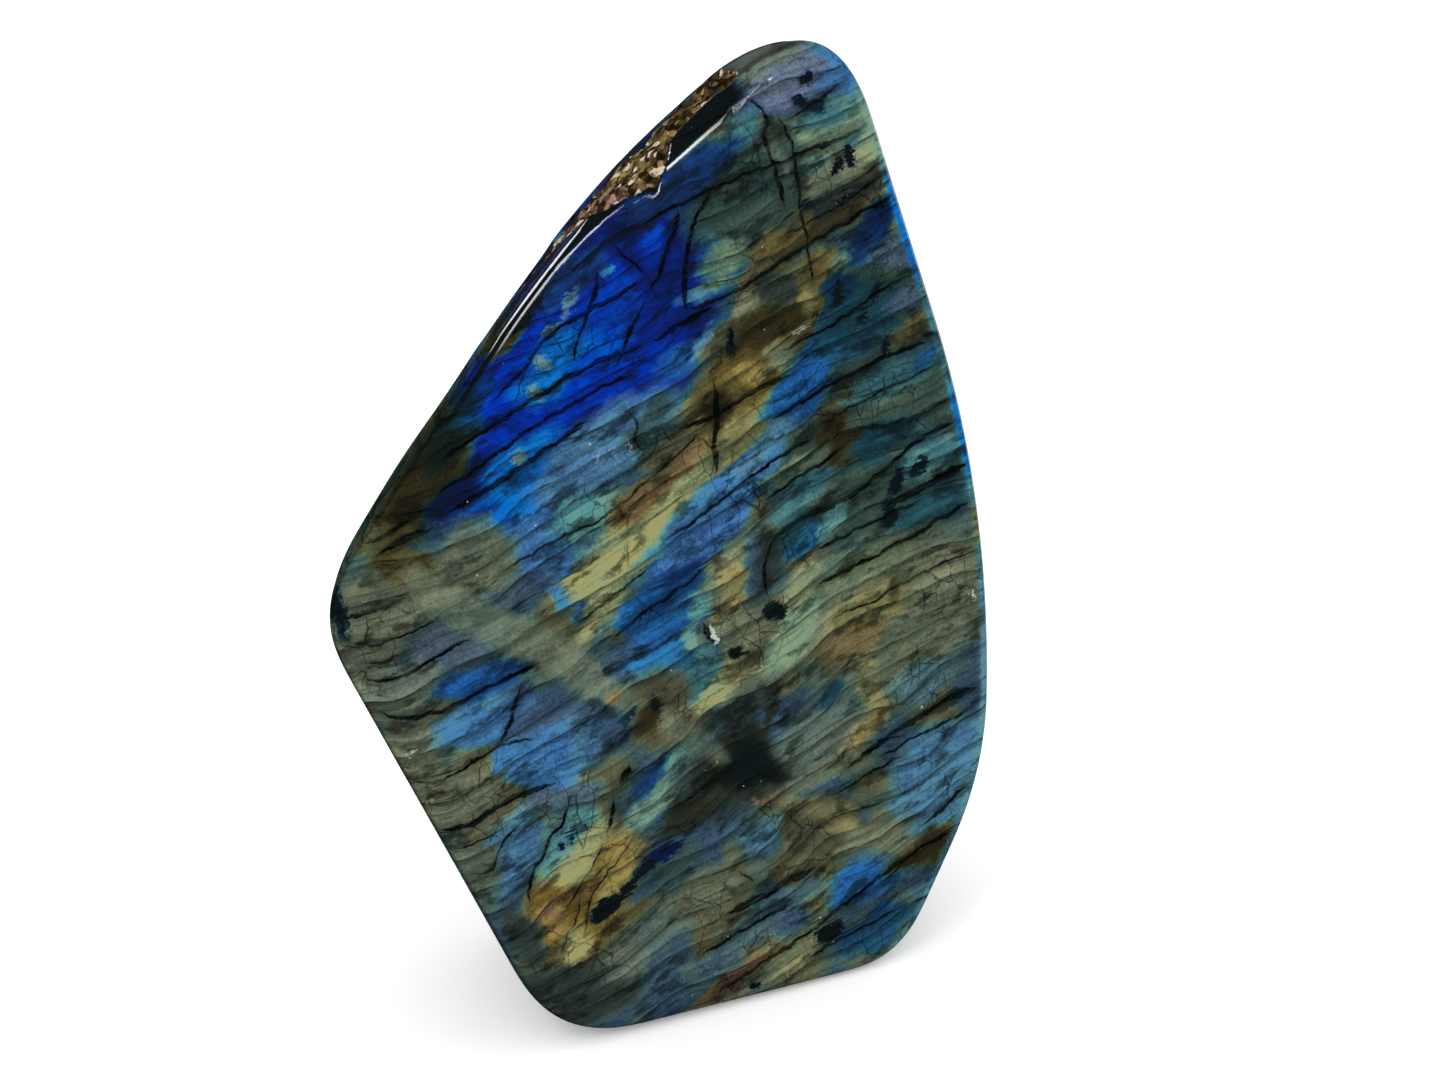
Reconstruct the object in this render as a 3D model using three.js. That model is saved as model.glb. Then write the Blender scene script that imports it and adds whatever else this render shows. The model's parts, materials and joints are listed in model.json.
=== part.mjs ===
// A polished labradorite freeform that stands on its flat cut base.
// Millimetres, +Z up, the face looks along -Y. The origin is on the ground under the middle of the stone.
// The skin is a ball whose north pole is the middle of the face and whose south pole is the middle of
// the back. Every ring is moved to its place: flat face, front rim, side wall, back rim, domed back.
import * as THREE from 'three';
import { ImprovedNoise } from 'three/addons/math/ImprovedNoise.js';
import { mergeVertices } from 'three/addons/utils/BufferGeometryUtils.js';

// Driving dimensions
const BASE_DEPTH = 32;             // front to back along the ground, under the domes
const TOP_DEPTH = 21;              // the same at the height below
const TALL = 114;                  // height of the stone
const FACE_LEAN = Math.tan(THREE.MathUtils.degToRad(8));   // the face leans back by this for each mm up
const GROUND_FRONT = -20;          // where the face meets the ground
const WALL_BULGE = 0.8;            // the side wall is a little round from front to back
const GRINDING_WAVE = 0.6;         // how far hand grinding leaves the wall and the back wavy
const GRINDING_SIZE = 17;          // mm from one wave to the next
const GROUND_BAND = 1.5;           // the wall is straight up to this height, so that the base stays flat

// Steps of the rings from the face to the back, and shares of the way from a middle to its rim
const FACE_RINGS = [0.28, 0.52, 0.73, 0.89];
const FRONT_RIM_STEPS = 4;
const WALL_STEPS = 10;
const BACK_RIM_STEPS = 5;
const BACK_RINGS = [0.85, 0.62, 0.36];

// The face and the back are low domes: their middle as x and z, how far the middle stands proud, and how
// far from it, sideways and up, the dome has come down to the flat. Near the middle the rings are round.
const FACE_DOME = { middle: [2, 55], height: 0.7, wide: 44, tall: 62, round: 36 };
const BACK_DOME = { middle: [4, 50], height: 6, wide: 33, tall: 62, round: 24 };

// The outlines of the face and of the back, anticlockwise seen from the front, as the corners where their
// straight stretches would meet, x and z. ease: how far before and after the corner they turn. front and
// rear: how far the front and the back rim round over there, blended between the middles of two corners.
// step: distance of the points after the corner.
const CORNERS = [
  { name: 'right heel', face: [25.8, 0], back: [24, 0], ease: 6.5, front: 2.2, rear: 5, step: 2.4 },
  { name: 'right hip', face: [40.2, 21.5], back: [34.5, 20], ease: 10, front: 2.4, rear: 9.5, step: 2.8 },
  { name: 'right side', face: [43.7, 56], back: [36.5, 53.5], ease: 23, front: 2.4, rear: 11, step: 3 },
  { name: 'top', face: [29.2, 120], back: [25.5, 112], ease: 15.5, front: 4.2, rear: 9, step: 1.3 },
  { name: 'rind rim', face: [3.2, 105.6], back: [4, 91.6], ease: 9.5, front: 1.9, rear: 6, step: 1.3 },
  { name: 'upper rim', face: [-12.4, 93.6], back: [-10, 76], ease: 9.5, front: 1.6, rear: 8, step: 2.6 },
  { name: 'left corner', face: [-43.5, 60.2], back: [-32, 52.5], ease: 7.5, front: 2.4, rear: 10, step: 3 },
  { name: 'left heel', face: [-20.6, 0], back: [-12.5, 0], ease: 10.5, front: 4.6, rear: 6, step: 2.8 },
];

// The rough strip of rind on the wall under the rind rim. Its near limit is its distance behind the
// front rim, in mm, at places x along the rim: where the limit is below zero it bites into the rim.
const RIND = {
  limits: [
    [-15, 9], [-10, 5], [-6, 2.6], [-2, 1.4], [0, -1.6],
    [3.6, -1.2], [5, 2.2], [9, 3], [13, 4], [16, 8],
  ],
  lowest: 85,                      // the rind lies above this height
  far: 15,                         // mm behind the front rim where it ends
  soft: 1.6,                       // mm over which its edge drops in
  depth: 0.8,                      // mm below the polish
  lump: 0.9,                       // mm, height of the crystal lumps in it
  lumpSize: 3.4,                   // mm from one lump to the next
};

// One outline: its turns at the corners and its straight stretches between them, by turns
function outlineCurves(side) {
  const corners = CORNERS.map((corner) => new THREE.Vector2(...corner[side]));
  const eased = (from, to) => {
    const towards = corners[to].clone().sub(corners[from]);
    return corners[from].clone().add(towards.setLength(CORNERS[from].ease));
  };
  return CORNERS.flatMap((corner, index) => {
    const before = (index + CORNERS.length - 1) % CORNERS.length;
    const after = (index + 1) % CORNERS.length;
    return [
      new THREE.QuadraticBezierCurve(eased(index, before), corners[index], eased(index, after)),
      new THREE.LineCurve(eased(index, after), eased(after, index)),
    ];
  });
}

// The points of the face's outline, each with its outward direction, its partner on the back's outline
// and how far the rims round over there. phase counts the corners: it is whole at a corner's middle.
function traceOutline() {
  const backCurves = outlineCurves('back');
  return outlineCurves('face').flatMap((curve, index) => {
    const corner = Math.floor(index / 2);
    const steps = Math.max(1, Math.round(curve.getLength() / CORNERS[corner].step));
    return Array.from({ length: steps }, (_, step) => {
      const share = step / steps;
      const along = curve.getTangent(share);
      const phase = index % 2 === 0 ? corner - 0.25 + share / 2 : corner + 0.25 + share / 2;
      return {
        place: curve.getPoint(share),
        backPlace: backCurves[index].getPoint(share),
        outward: new THREE.Vector2(along.y, -along.x),
        front: blended('front', phase),
        rear: blended('rear', phase),
      };
    });
  });
}

// One value of the corners, blended at a phase
function blended(name, phase) {
  const last = Math.floor(phase);
  const value = (index) => CORNERS[(index + CORNERS.length) % CORNERS.length][name];
  return THREE.MathUtils.lerp(value(last), value(last + 1), THREE.MathUtils.smoothstep(phase - last, 0, 1));
}

// A smooth random height at a point, between about -1 and 1, with waves of a given size
const noise = new ImprovedNoise();
const waves = ({ x, y, z }, size) => noise.noise(x / size, y / size, z / size);

// Points of the face and of the back over a place, x and z
const proud = ({ x, y }, { middle, height, wide, tall }) =>
  height * (1 - ((x - middle[0]) / wide) ** 2 - ((y - middle[1]) / tall) ** 2);
function facePoint(place) {
  const y = GROUND_FRONT + place.y * FACE_LEAN - proud(place, FACE_DOME);
  return new THREE.Vector3(place.x, y, place.y);
}
function backPoint(place) {
  const depth = THREE.MathUtils.lerp(BASE_DEPTH, TOP_DEPTH, place.y / TALL);
  const y = GROUND_FRONT + place.y * FACE_LEAN + depth + proud(place, BACK_DOME);
  return new THREE.Vector3(place.x, y, place.y);
}

// A rounded corner: the point a share of the way round, between two points that the corner joins
function rounded(from, corner, to, share) {
  return new THREE.QuadraticBezierCurve3(from, corner, to).getPoint(share);
}

// A place a share of the way from the middle of a dome to its rim: the rings turn from round ones near
// the middle to the outline's shape
function ringPlace(dome, rimPlace, share) {
  const middle = new THREE.Vector2(...dome.middle);
  const round = middle.clone().add(rimPlace.clone().sub(middle).setLength(dome.round));
  return middle.clone().lerp(round.lerp(rimPlace, share * share), share);
}

// How much of the rind shows at a point of the section through a rim, from 0 to 1
function rindShown(rim, point) {
  const later = RIND.limits.findIndex(([x]) => x > rim.place.x);
  if (later < 1 || rim.place.y < RIND.lowest) return 0;
  const [[xA, limitA], [xB, limitB]] = RIND.limits.slice(later - 1, later + 1);
  const limit = THREE.MathUtils.mapLinear(rim.place.x, xA, xB, limitA, limitB);
  const behind = point.y - facePoint(rim.place).y;
  return THREE.MathUtils.smoothstep(Math.min(behind - limit, RIND.far - behind), 0, RIND.soft);
}

// One section of the stone, from the middle of the face over the wall to the middle of the back
function section(rim) {
  const inside = (place, dome, distance) => {
    const middle = new THREE.Vector2(...dome.middle);
    return place.clone().add(middle.sub(place).setLength(distance));
  };
  const faceEnd = inside(rim.place, FACE_DOME, rim.front);
  const backEnd = inside(rim.backPlace, BACK_DOME, rim.rear);
  const faceCorner = facePoint(rim.place);
  const backCorner = backPoint(rim.backPlace);
  const wall = backCorner.clone().sub(faceCorner);
  const wallStart = faceCorner.clone().add(wall.clone().setLength(rim.front));
  const wallEnd = backCorner.clone().sub(wall.clone().setLength(rim.rear));
  const outward = new THREE.Vector3(rim.outward.x, 0, rim.outward.y);
  const raised = THREE.MathUtils.smoothstep(rim.place.y, 0, GROUND_BAND);

  const points = FACE_RINGS.map((share) => facePoint(ringPlace(FACE_DOME, faceEnd, share)));
  for (let step = 0; step <= FRONT_RIM_STEPS; step++) {
    points.push(rounded(facePoint(faceEnd), faceCorner, wallStart, step / FRONT_RIM_STEPS));
  }
  for (let step = 1; step < WALL_STEPS; step++) {
    const across = step / WALL_STEPS;
    const point = wallStart.clone().lerp(wallEnd, across);
    const round = 4 * across * (1 - across);
    const bulge = round * (WALL_BULGE + GRINDING_WAVE * waves(point, GRINDING_SIZE));
    points.push(point.addScaledVector(outward, raised * bulge));
  }
  for (let step = 0; step <= BACK_RIM_STEPS; step++) {
    points.push(rounded(wallEnd, backCorner, backPoint(backEnd), step / BACK_RIM_STEPS));
  }
  BACK_RINGS.forEach((share) => {
    const point = backPoint(ringPlace(BACK_DOME, backEnd, share));
    point.y += GRINDING_WAVE * waves(point, GRINDING_SIZE);
    points.push(point);
  });
  points.forEach((point) => {
    const sunk = rindShown(rim, point) * (RIND.lump * waves(point, RIND.lumpSize) - RIND.depth);
    point.addScaledVector(outward, sunk);
  });
  return points;
}

// The whole skin, closed at the two poles, over the middle of its box
function stoneGeometry() {
  const sections = traceOutline().map(section);
  const facePole = facePoint(new THREE.Vector2(...FACE_DOME.middle));
  const backPole = backPoint(new THREE.Vector2(...BACK_DOME.middle));
  const round = sections.length;
  const skin = new THREE.SphereGeometry(1, round, sections[0].length + 1);
  for (let step = 0; step <= round; step++) {
    [facePole, ...sections[step % round], backPole].forEach((point, ring) => {
      skin.attributes.position.setXYZ(ring * (round + 1) + step, point.x, point.y, point.z);
    });
  }
  skin.deleteAttribute('normal');
  skin.deleteAttribute('uv');
  const closed = mergeVertices(skin);
  closed.computeBoundingBox();
  const middle = closed.boundingBox.getCenter(new THREE.Vector3());
  closed.translate(-middle.x, -middle.y, -closed.boundingBox.min.z);
  closed.computeVertexNormals();
  return closed;
}

const polished = new THREE.MeshStandardMaterial({ color: 0x2f5068, roughness: 0.12, metalness: 0 });
const stone = new THREE.Mesh(stoneGeometry(), polished);
stone.name = 'labradorite_stone';

const labradorite = new THREE.Group();
labradorite.add(stone);

export default labradorite;
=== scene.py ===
"""A polished labradorite freeform on a pale floor, laid out as an add-on and run as a script.

Blender works in metres. Places and sizes of the stone's markings are in millimetres on the face:
x to the right and z up, seen square on from the front.
"""
import json
import math

import bpy
from bpy.props import FloatProperty, FloatVectorProperty, IntProperty, PointerProperty
from mathutils import Color, Matrix, Vector

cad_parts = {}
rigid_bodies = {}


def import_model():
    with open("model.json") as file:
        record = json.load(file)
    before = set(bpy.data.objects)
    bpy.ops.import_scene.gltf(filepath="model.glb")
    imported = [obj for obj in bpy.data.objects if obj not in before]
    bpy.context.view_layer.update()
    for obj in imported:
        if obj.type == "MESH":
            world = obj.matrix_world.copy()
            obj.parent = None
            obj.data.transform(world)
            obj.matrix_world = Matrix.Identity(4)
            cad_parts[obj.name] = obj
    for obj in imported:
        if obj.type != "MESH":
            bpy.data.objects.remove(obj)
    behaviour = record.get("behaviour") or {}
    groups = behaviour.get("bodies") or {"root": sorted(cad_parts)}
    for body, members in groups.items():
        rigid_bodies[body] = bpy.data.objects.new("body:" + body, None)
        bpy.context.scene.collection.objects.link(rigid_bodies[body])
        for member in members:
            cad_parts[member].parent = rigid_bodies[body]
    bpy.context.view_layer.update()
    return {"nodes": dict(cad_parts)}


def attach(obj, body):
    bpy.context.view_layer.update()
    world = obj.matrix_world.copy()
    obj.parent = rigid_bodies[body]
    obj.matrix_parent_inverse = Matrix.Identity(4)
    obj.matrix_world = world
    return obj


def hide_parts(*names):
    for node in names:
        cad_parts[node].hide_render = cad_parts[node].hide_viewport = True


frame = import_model()

bl_info = {
    "name": "Labradorite Freeform",
    "version": (1, 0, 0),
    "blender": (4, 5, 0),
    "location": "3D View > Sidebar > Labradorite",
    "description": "Builds a polished labradorite freeform and its studio",
    "category": "Object",
}

STONE = "labradorite_stone"
MM = 0.001

# Where the solid's face lies: it leans back, and meets the ground at this y
FACE_LEAN = math.tan(math.radians(8))
GROUND_FRONT = -20.5

# The play of colour, from the thinnest sheets of feldspar to the thickest: place on it and colour. The
# flashes are the stone's schiller, light that the sheets inside reflect, painted into the colour as a
# painted sheen seen from the front
PLAY_OF_COLOUR = (
    (0.0, (0.22, 0.28, 0.56)),
    (0.06, (0.0, 0.13, 0.56)),
    (0.14, (0.0, 0.20, 0.68)),
    (0.22, (0.0, 0.34, 0.74)),
    (0.3, (0.04, 0.45, 0.74)),
    (0.38, (0.14, 0.52, 0.66)),
    (0.46, (0.28, 0.58, 0.60)),
    (0.55, (0.47, 0.61, 0.48)),
    (0.64, (0.62, 0.61, 0.38)),
    (0.74, (0.60, 0.51, 0.24)),
    (0.84, (0.58, 0.44, 0.26)),
    (0.92, (0.48, 0.37, 0.31)),
    (1.0, (0.38, 0.20, 0.15)),
)

# Kinds of flash: place on the play of colour, strength, which is full at about 1, and milkiness
KINDS = {
    "lavender": (0.14, 0.96, 0.7),
    "ink": (0.14, 0.36, 0.0),
    "night": (0.11, 0.66, 0.0),
    "royal": (0.13, 1.04, 0.0),
    "electric": (0.18, 1.06, 0.0),
    "navy": (0.24, 0.54, 0.05),
    "dusk": (0.26, 0.76, 0.7),
    "cobalt": (0.28, 0.82, 0.08),
    "cornflower": (0.3, 1.0, 0.26),
    "azure": (0.29, 1.1, 0.0),
    "steel": (0.34, 0.94, 0.36),
    "slate": (0.38, 0.78, 0.5),
    "sky": (0.38, 1.16, 0.45),
    "petrol": (0.4, 0.48, 0.05),
    "teal": (0.43, 0.8, 0.2),
    "graphite": (0.45, 0.4, 0.8),
    "jet": (0.3, 0.1, 0.0),
    "coal": (0.66, 0.24, 0.5),
    "aqua": (0.47, 1.06, 0.25),
    "pine": (0.5, 0.5, 0.4),
    "smoke": (0.52, 0.84, 0.9),
    "lichen": (0.54, 1.08, 0.25),
    "sage": (0.58, 0.88, 0.3),
    "moss": (0.61, 0.96, 0.65),
    "vein": (0.6, 0.84, 0.7),
    "taupe": (0.61, 0.78, 0.65),
    "cream": (0.58, 1.1, 0.9),
    "khaki": (0.65, 0.84, 0.15),
    "straw": (0.62, 1.12, 0.15),
    "loam": (0.66, 0.54, 0.6),
    "olive": (0.7, 0.5, 0.0),
    "honey": (0.71, 1.04, 0.1),
    "bronze": (0.74, 0.7, 0.0),
    "umber": (0.76, 0.3, 0.1),
    "peach": (0.8, 1.1, 0.15),
    "mauve": (0.88, 0.84, 0.25),
    "rust": (0.97, 0.8, 0.1),
    "chip": (0.0, 0.0, 1.0),
}

# How much of a flash's half width fades out, and its opacity, where its row doesn't say
USUAL_FADE = 0.6
USUAL_OPACITY = 0.9

# The flashes of the face by area, painted in this order: kind, x, z, half length, half width, degrees
# from level, and fade and opacity where they aren't the usual ones
FLASHES = {
    "dark ground of the right half": (
        ("pine", 30, 72, 18, 15, 60, 0.5, 1.0),
        ("taupe", 28, 46, 16, 9, 10, 0.5, 0.9),
        ("olive", 17, 82, 10, 6, 20),
        ("loam", 22, 96, 10, 4, 12, 0.5, 0.9),
    ),
    "top": (
        ("smoke", 19, 112.5, 11, 3, 6, 0.5, 0.9),
        ("lavender", 20, 109.2, 6, 2.8, 12, 0.6, 0.85),
        ("lavender", 24.6, 111.6, 3, 1.8, 20, 0.6, 0.8),
        ("cornflower", 27, 108, 2.6, 2.2, 60, 0.6, 0.85),
        ("sage", 24.5, 104, 7, 2.8, 14, 0.5, 0.95),
        ("teal", 24.5, 105.4, 4.5, 1.2, 14, 0.6, 0.8),
        ("aqua", 22.4, 100, 2.8, 1.3, 12, 0.6, 0.8),
        ("straw", 29.5, 100.5, 3, 1.8, 60, 0.6, 0.8),
        ("taupe", 25, 98, 4, 1.6, 12),
        ("graphite", 25, 95.2, 5, 1.3, 12, 0.6, 0.8),
        ("umber", 23, 92.4, 7, 1.3, 18, 0.6, 0.7),
        ("bronze", 20.5, 95.5, 1.6, 3.4, 0, 0.6, 0.7),
        ("ink", 30.5, 92.5, 4, 1.6, 40, 0.5, 0.9),
        ("navy", 28.3, 89.5, 3.4, 1.7, 50),
        ("bronze", 22.6, 88.8, 2.6, 1.8, 40, 0.7, 0.8),
        ("lichen", 24.6, 87.2, 1.6, 0.8, 55, 0.8, 0.7),
        ("dusk", 32.6, 88, 4.5, 2.2, 20, 0.6, 0.85),
    ),
    "royal blue corner": (
        ("night", -9, 84, 23, 12, 40, 0.3, 1.0),
        ("royal", -19, 77.5, 9, 4.6, 40, 0.4, 1.0),
        ("royal", -7.5, 84.5, 13, 6.2, 33, 0.4, 1.0),
        ("night", 0.8, 91, 6.4, 3.8, 66, 0.5, 1.0),
        ("electric", -6, 86, 8, 3.4, 36, 0.6, 0.8),
        ("azure", -12.4, 82.6, 5, 3.4, 40, 0.6, 0.8),
        ("electric", 1, 94.6, 2.4, 1.8, 60, 0.9, 0.8),
        ("navy", -8.5, 92, 5.5, 1.8, 36),
        ("ink", 1, 98.2, 5, 1.8, 25, 0.5, 0.9),
        ("night", 2, 84, 5, 2.4, 18, 0.6, 0.8),
        ("royal", -12.5, 77.6, 9, 1.6, 27),
        ("azure", -15.8, 74.1, 4.5, 1.4, 30, 0.8, 0.9),
        ("azure", -20.5, 71.6, 8, 2.4, 24),
        ("ink", -25, 72.4, 4.5, 2.2, 35, 0.7, 0.8),
        ("azure", -17, 68.6, 6.5, 3.2, 24),
        ("royal", -4, 80, 10, 2.2, 22),
        ("cobalt", 4.6, 80.8, 5.5, 1.8, 18),
        ("umber", 11.4, 81.4, 3.4, 2.8, 30, 0.6, 0.8),
    ),
    "dark green centre of the top": (
        ("pine", 13.5, 98, 8, 6, 20, 0.5, 1.0),
        ("teal", 14.4, 105.6, 4, 2.4, 28),
        ("navy", 6, 101, 8, 2.2, 22, 0.5, 1.0),
        ("sage", 9.4, 90.6, 3.8, 2, 28),
        ("steel", 7.2, 88, 2, 1.1, 20, 0.7, 0.8),
        ("bronze", 16.6, 91.6, 3.6, 1.3, 15, 0.6, 0.8),
        ("graphite", 17, 86.2, 2.2, 2.2, 60, 0.5, 0.9),
        ("moss", 12.6, 85.6, 2.2, 1.4, 25, 0.6, 0.8),
        ("smoke", 18, 103.4, 3.6, 0.9, 103, 0.5, 0.9),
    ),
    "bronze and black beside the blue band": (
        ("loam", 9.4, 82.2, 3.4, 1.8, 30),
        ("umber", 15.6, 82.6, 3.6, 1.4, 20, 0.5, 0.8),
        ("bronze", 10, 75.6, 8, 3.6, 16, 0.5, 0.9),
        ("honey", 11.6, 77.6, 1.6, 1.4, 60, 0.8, 0.9),
        ("sage", 15.6, 79, 2.6, 1.6, 40),
        ("umber", 6.8, 74.6, 2.4, 2.4, 60, 0.7, 0.9),
        ("khaki", 20.6, 84.8, 2.2, 0.9, 35, 0.7, 0.7),
        ("ink", 24, 83.6, 2.8, 2, 60, 0.6, 0.8),
        ("olive", 29, 83.4, 2.6, 1.6, 60, 0.6, 0.8),
        ("sky", 6.8, 82.2, 2.6, 0.9, 58, 0.7, 0.8),
    ),
    "slate between the corner and the straw band": (
        ("steel", -7, 72.6, 9.5, 3.8, 22, 0.5, 1.0),
        ("steel", -9.5, 68.6, 7, 3, 20, 0.5, 0.9),
        ("pine", -1.6, 73.4, 3.4, 2, 45, 0.6, 0.7),
        ("aqua", -10.6, 63.6, 5, 3.4, 18, 0.6, 1.0),
        ("cornflower", -17, 61.6, 4, 4, 20),
    ),
    "straw band and the blue band under it": (
        ("straw", -5, 60.6, 8.5, 3.8, 37, 0.45, 1.0),
        ("straw", 3.4, 65, 7, 2.6, 34, 0.5, 0.9),
        ("khaki", 9.6, 70.6, 6, 2.2, 24, 0.5, 0.95),
        ("mauve", -4, 64.8, 4.6, 1.4, 34, 0.6, 0.8),
        ("mauve", 2.4, 68.6, 4.6, 1.4, 32, 0.6, 0.8),
        ("cornflower", -14, 57.4, 5, 1.3, 96, 0.7, 0.9),
        ("straw", -9.8, 54.6, 4.4, 2.4, 65, 0.5, 1.0),
        ("cornflower", 2, 58.4, 9.4, 3.6, 38, 0.4, 1.0),
        ("cornflower", 10.6, 66, 6.8, 2.6, 36, 0.4, 1.0),
        ("cobalt", 18.6, 75.4, 6.2, 3.2, 38, 0.5, 1.0),
        ("cobalt", 21.4, 79.8, 3, 1.8, 50, 0.5, 1.0),
        ("navy", 26, 78.6, 3, 2, 60, 0.7, 0.8),
        ("sky", 13, 68.8, 4, 1.5, 36, 0.8, 0.8),
        ("cobalt", -4, 52.4, 4, 2.6, 60, 0.5, 1.0),
        ("cobalt", -3.6, 48.4, 3.4, 3, 60),
    ),
    "between the blue band and the right edge": (
        ("sage", 16.2, 64.8, 4.6, 1.4, 15, 0.5, 0.9),
        ("teal", 17.6, 61.4, 4.4, 2, 20),
        ("petrol", 16, 56.6, 4.4, 2.4, 30),
        ("cobalt", 16.8, 55.6, 3, 1.4, 30, 0.7, 0.6),
        ("aqua", 21, 57.6, 2.8, 1.2, 40, 0.7, 0.8),
        ("sage", 35, 63.4, 2.8, 1.2, 45, 0.7, 0.7),
        ("umber", 22.8, 68, 5, 2.2, 76, 0.6, 0.85),
        ("petrol", 28.4, 66.4, 5, 2.4, 20),
        ("petrol", 26.4, 81, 6.4, 4, 15),
        ("teal", 31, 74, 7, 2.4, 15, 0.6, 0.8),
        ("dusk", 33, 82.2, 4, 1.4, 20, 0.6, 0.8),
        ("olive", 33.4, 78.6, 4, 1.2, 20, 0.6, 0.8),
        ("cobalt", 34.6, 75.4, 3, 1, 25, 0.7, 0.7),
        ("teal", 35, 63.4, 5, 3, 15),
        ("petrol", 35, 57, 5.4, 2.2, 12, 0.5, 0.9),
    ),
    "gold lens and the dark cleft beside it": (
        ("sage", 7.4, 56, 4.4, 2, 56, 0.5, 0.95),
        ("honey", 7, 52.4, 4, 1.6, 66, 0.7, 0.75),
        ("graphite", 11.8, 54, 4.8, 1.5, 72, 0.7, 0.85),
        ("taupe", 8, 47.6, 4.4, 3, 25),
        ("teal", 2, 43.6, 4.8, 2.4, 52, 0.5, 0.9),
        ("straw", 4.8, 41, 3.6, 2, 42),
        ("cobalt", 0, 49.4, 5.2, 2.6, 80, 0.5, 0.9),
        ("aqua", 2.8, 50, 4.6, 1.2, 80, 0.7, 0.95),
        ("navy", 0.4, 54.4, 4.4, 2, 22),
    ),
    "olive and straw right of the cleft": (
        ("lichen", 15, 46, 5.6, 2.6, 50, 0.5, 0.95),
        ("sage", 17.2, 51, 4.2, 2, 36, 0.5, 0.9),
        ("sage", 24.4, 51, 6.4, 2.4, 15, 0.5, 0.9),
        ("khaki", 25.6, 46, 6, 2.8, 15, 0.6, 1.0),
        ("moss", 33.6, 47, 4.8, 1.8, 20, 0.7, 0.8),
        ("mauve", 20.6, 42, 5, 2.2, 12, 0.6, 0.7),
    ),
    "left edge": (
        ("taupe", -36, 56, 6, 8, 0, 0.4, 1.0),
        ("khaki", -34.6, 68.4, 5, 2.6, 27, 0.5, 0.85),
        ("olive", -32.4, 63.2, 5, 2.6, -45, 0.5, 0.95),
        ("umber", -28.4, 73.8, 7.8, 3.2, 49, 0.5, 1.0),
        ("jet", -24.6, 77.6, 7, 1.7, 47, 0.8, 0.6),
        ("ink", -26.6, 69.8, 4.6, 1.8, 20, 0.6, 0.95),
        ("taupe", -24.6, 62, 4.8, 4.6, 0, 0.5, 0.95),
        ("dusk", -27, 54.6, 7.4, 3, 14, 0.5, 1.0),
        ("smoke", -33.4, 49.6, 4.6, 2.4, 8),
        ("cobalt", -25.4, 48.2, 7.6, 2, 10, 0.5, 1.0),
        ("taupe", -33.6, 43.4, 3.8, 4.6, 0, 0.5, 1.0),
        ("cornflower", -25.6, 43.2, 5.6, 2.8, 15, 0.5, 0.9),
        ("cornflower", -17.6, 40.4, 4.4, 1.4, 15),
        ("taupe", -30, 35, 6, 5, 10, 0.5, 1.0),
        ("cornflower", -18.6, 37.3, 4.8, 3.3, -12, 0.3, 1.0),
        ("steel", -13, 38.6, 3.4, 2.3, 85),
        ("dusk", -16, 32.4, 5.2, 1.9, 5),
        ("steel", -24, 27.6, 5.6, 2.8, 55, 0.5, 0.95),
        ("taupe", -29.4, 25, 3, 4.4, 0),
    ),
    "gold crackle at the lower left": (
        ("bronze", -16.6, 19.6, 7.4, 5.6, 45, 0.4, 1.0),
        ("aqua", -17.4, 27, 4.6, 3.4, 50, 0.5, 1.0),
        ("straw", -14.6, 25, 3.8, 2.6, 50, 0.5, 1.0),
        ("peach", -20, 17.6, 2.3, 2.2, 0, 0.5, 0.9),
        ("straw", -17.4, 14.4, 2.7, 1.8, 70),
        ("honey", -11.4, 22.4, 5, 2.2, 45, 0.5, 0.95),
        ("bronze", -15.6, 19.6, 5.4, 0.9, 50, 0.8, 0.7),
        ("rust", -19, 19.8, 2.6, 0.7, 30, 0.7, 0.5),
        ("graphite", -23.4, 16.4, 5, 2, -68),
        ("lichen", -4.8, 30.2, 5, 2.7, 42, 0.45, 0.95),
        ("navy", -6.8, 31.8, 3, 1.1, 40, 0.7, 0.8),
        ("olive", -9.6, 16, 4.2, 1.6, 15, 0.7, 0.9),
    ),
    "dark heart and the ground around it": (
        ("loam", -3.6, 39.6, 5, 4, -42, 0.5, 0.95),
        ("graphite", 4, 29.6, 7.4, 4.8, -10, 0.7, 0.9),
        ("coal", 6.8, 30.6, 5.6, 3.8, -30, 0.6, 0.95),
        ("jet", 7.2, 30.4, 4.4, 2.6, -30, 0.8, 0.8),
        ("coal", 9.6, 37, 3.4, 1, 78, 0.7, 0.8),
        ("coal", -1, 26, 4.6, 1.5, 20, 0.6, 0.85),
        ("smoke", 17, 32.4, 6.4, 4.4, 25, 0.7, 0.7),
        ("khaki", 24.4, 36.6, 5.6, 2.2, 98, 0.7, 0.85),
        ("peach", 22.4, 31.4, 3.2, 1.8, 30, 0.7, 0.7),
        ("slate", 31, 35.6, 4.8, 2.8, 30),
        ("taupe", 17, 27.2, 6, 1.6, 12, 0.6, 0.8),
        ("graphite", 6.6, 37.2, 4, 1.4, 10),
        ("petrol", 18.5, 36.8, 2, 1.2, 36, 0.4, 0.95),
        ("loam", 16.6, 20.6, 7.4, 3.2, -22, 0.5, 0.95),
        ("khaki", 19, 20.8, 11, 1.3, -32, 0.7, 0.6),
        ("steel", 8, 22, 3.2, 2.4, 30, 0.7, 0.75),
        ("taupe", 0, 16, 7, 3, 12),
        ("pine", -3.4, 20.4, 4, 2, 20),
    ),
    "lower right": (
        ("steel", 33, 25, 6.8, 4.6, 20, 0.35, 1.0),
        ("steel", 33, 18.4, 4.4, 2.2, 20),
        ("taupe", 24, 17, 4.6, 2, -10),
        ("umber", 29.6, 13.8, 4.4, 2.2, 20, 0.6, 0.95),
        ("cobalt", 20.6, 12.4, 4.8, 3.2, 24, 0.5, 0.95),
        ("navy", 22.6, 5.6, 5.8, 2.4, 15, 0.5, 0.8),
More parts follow.
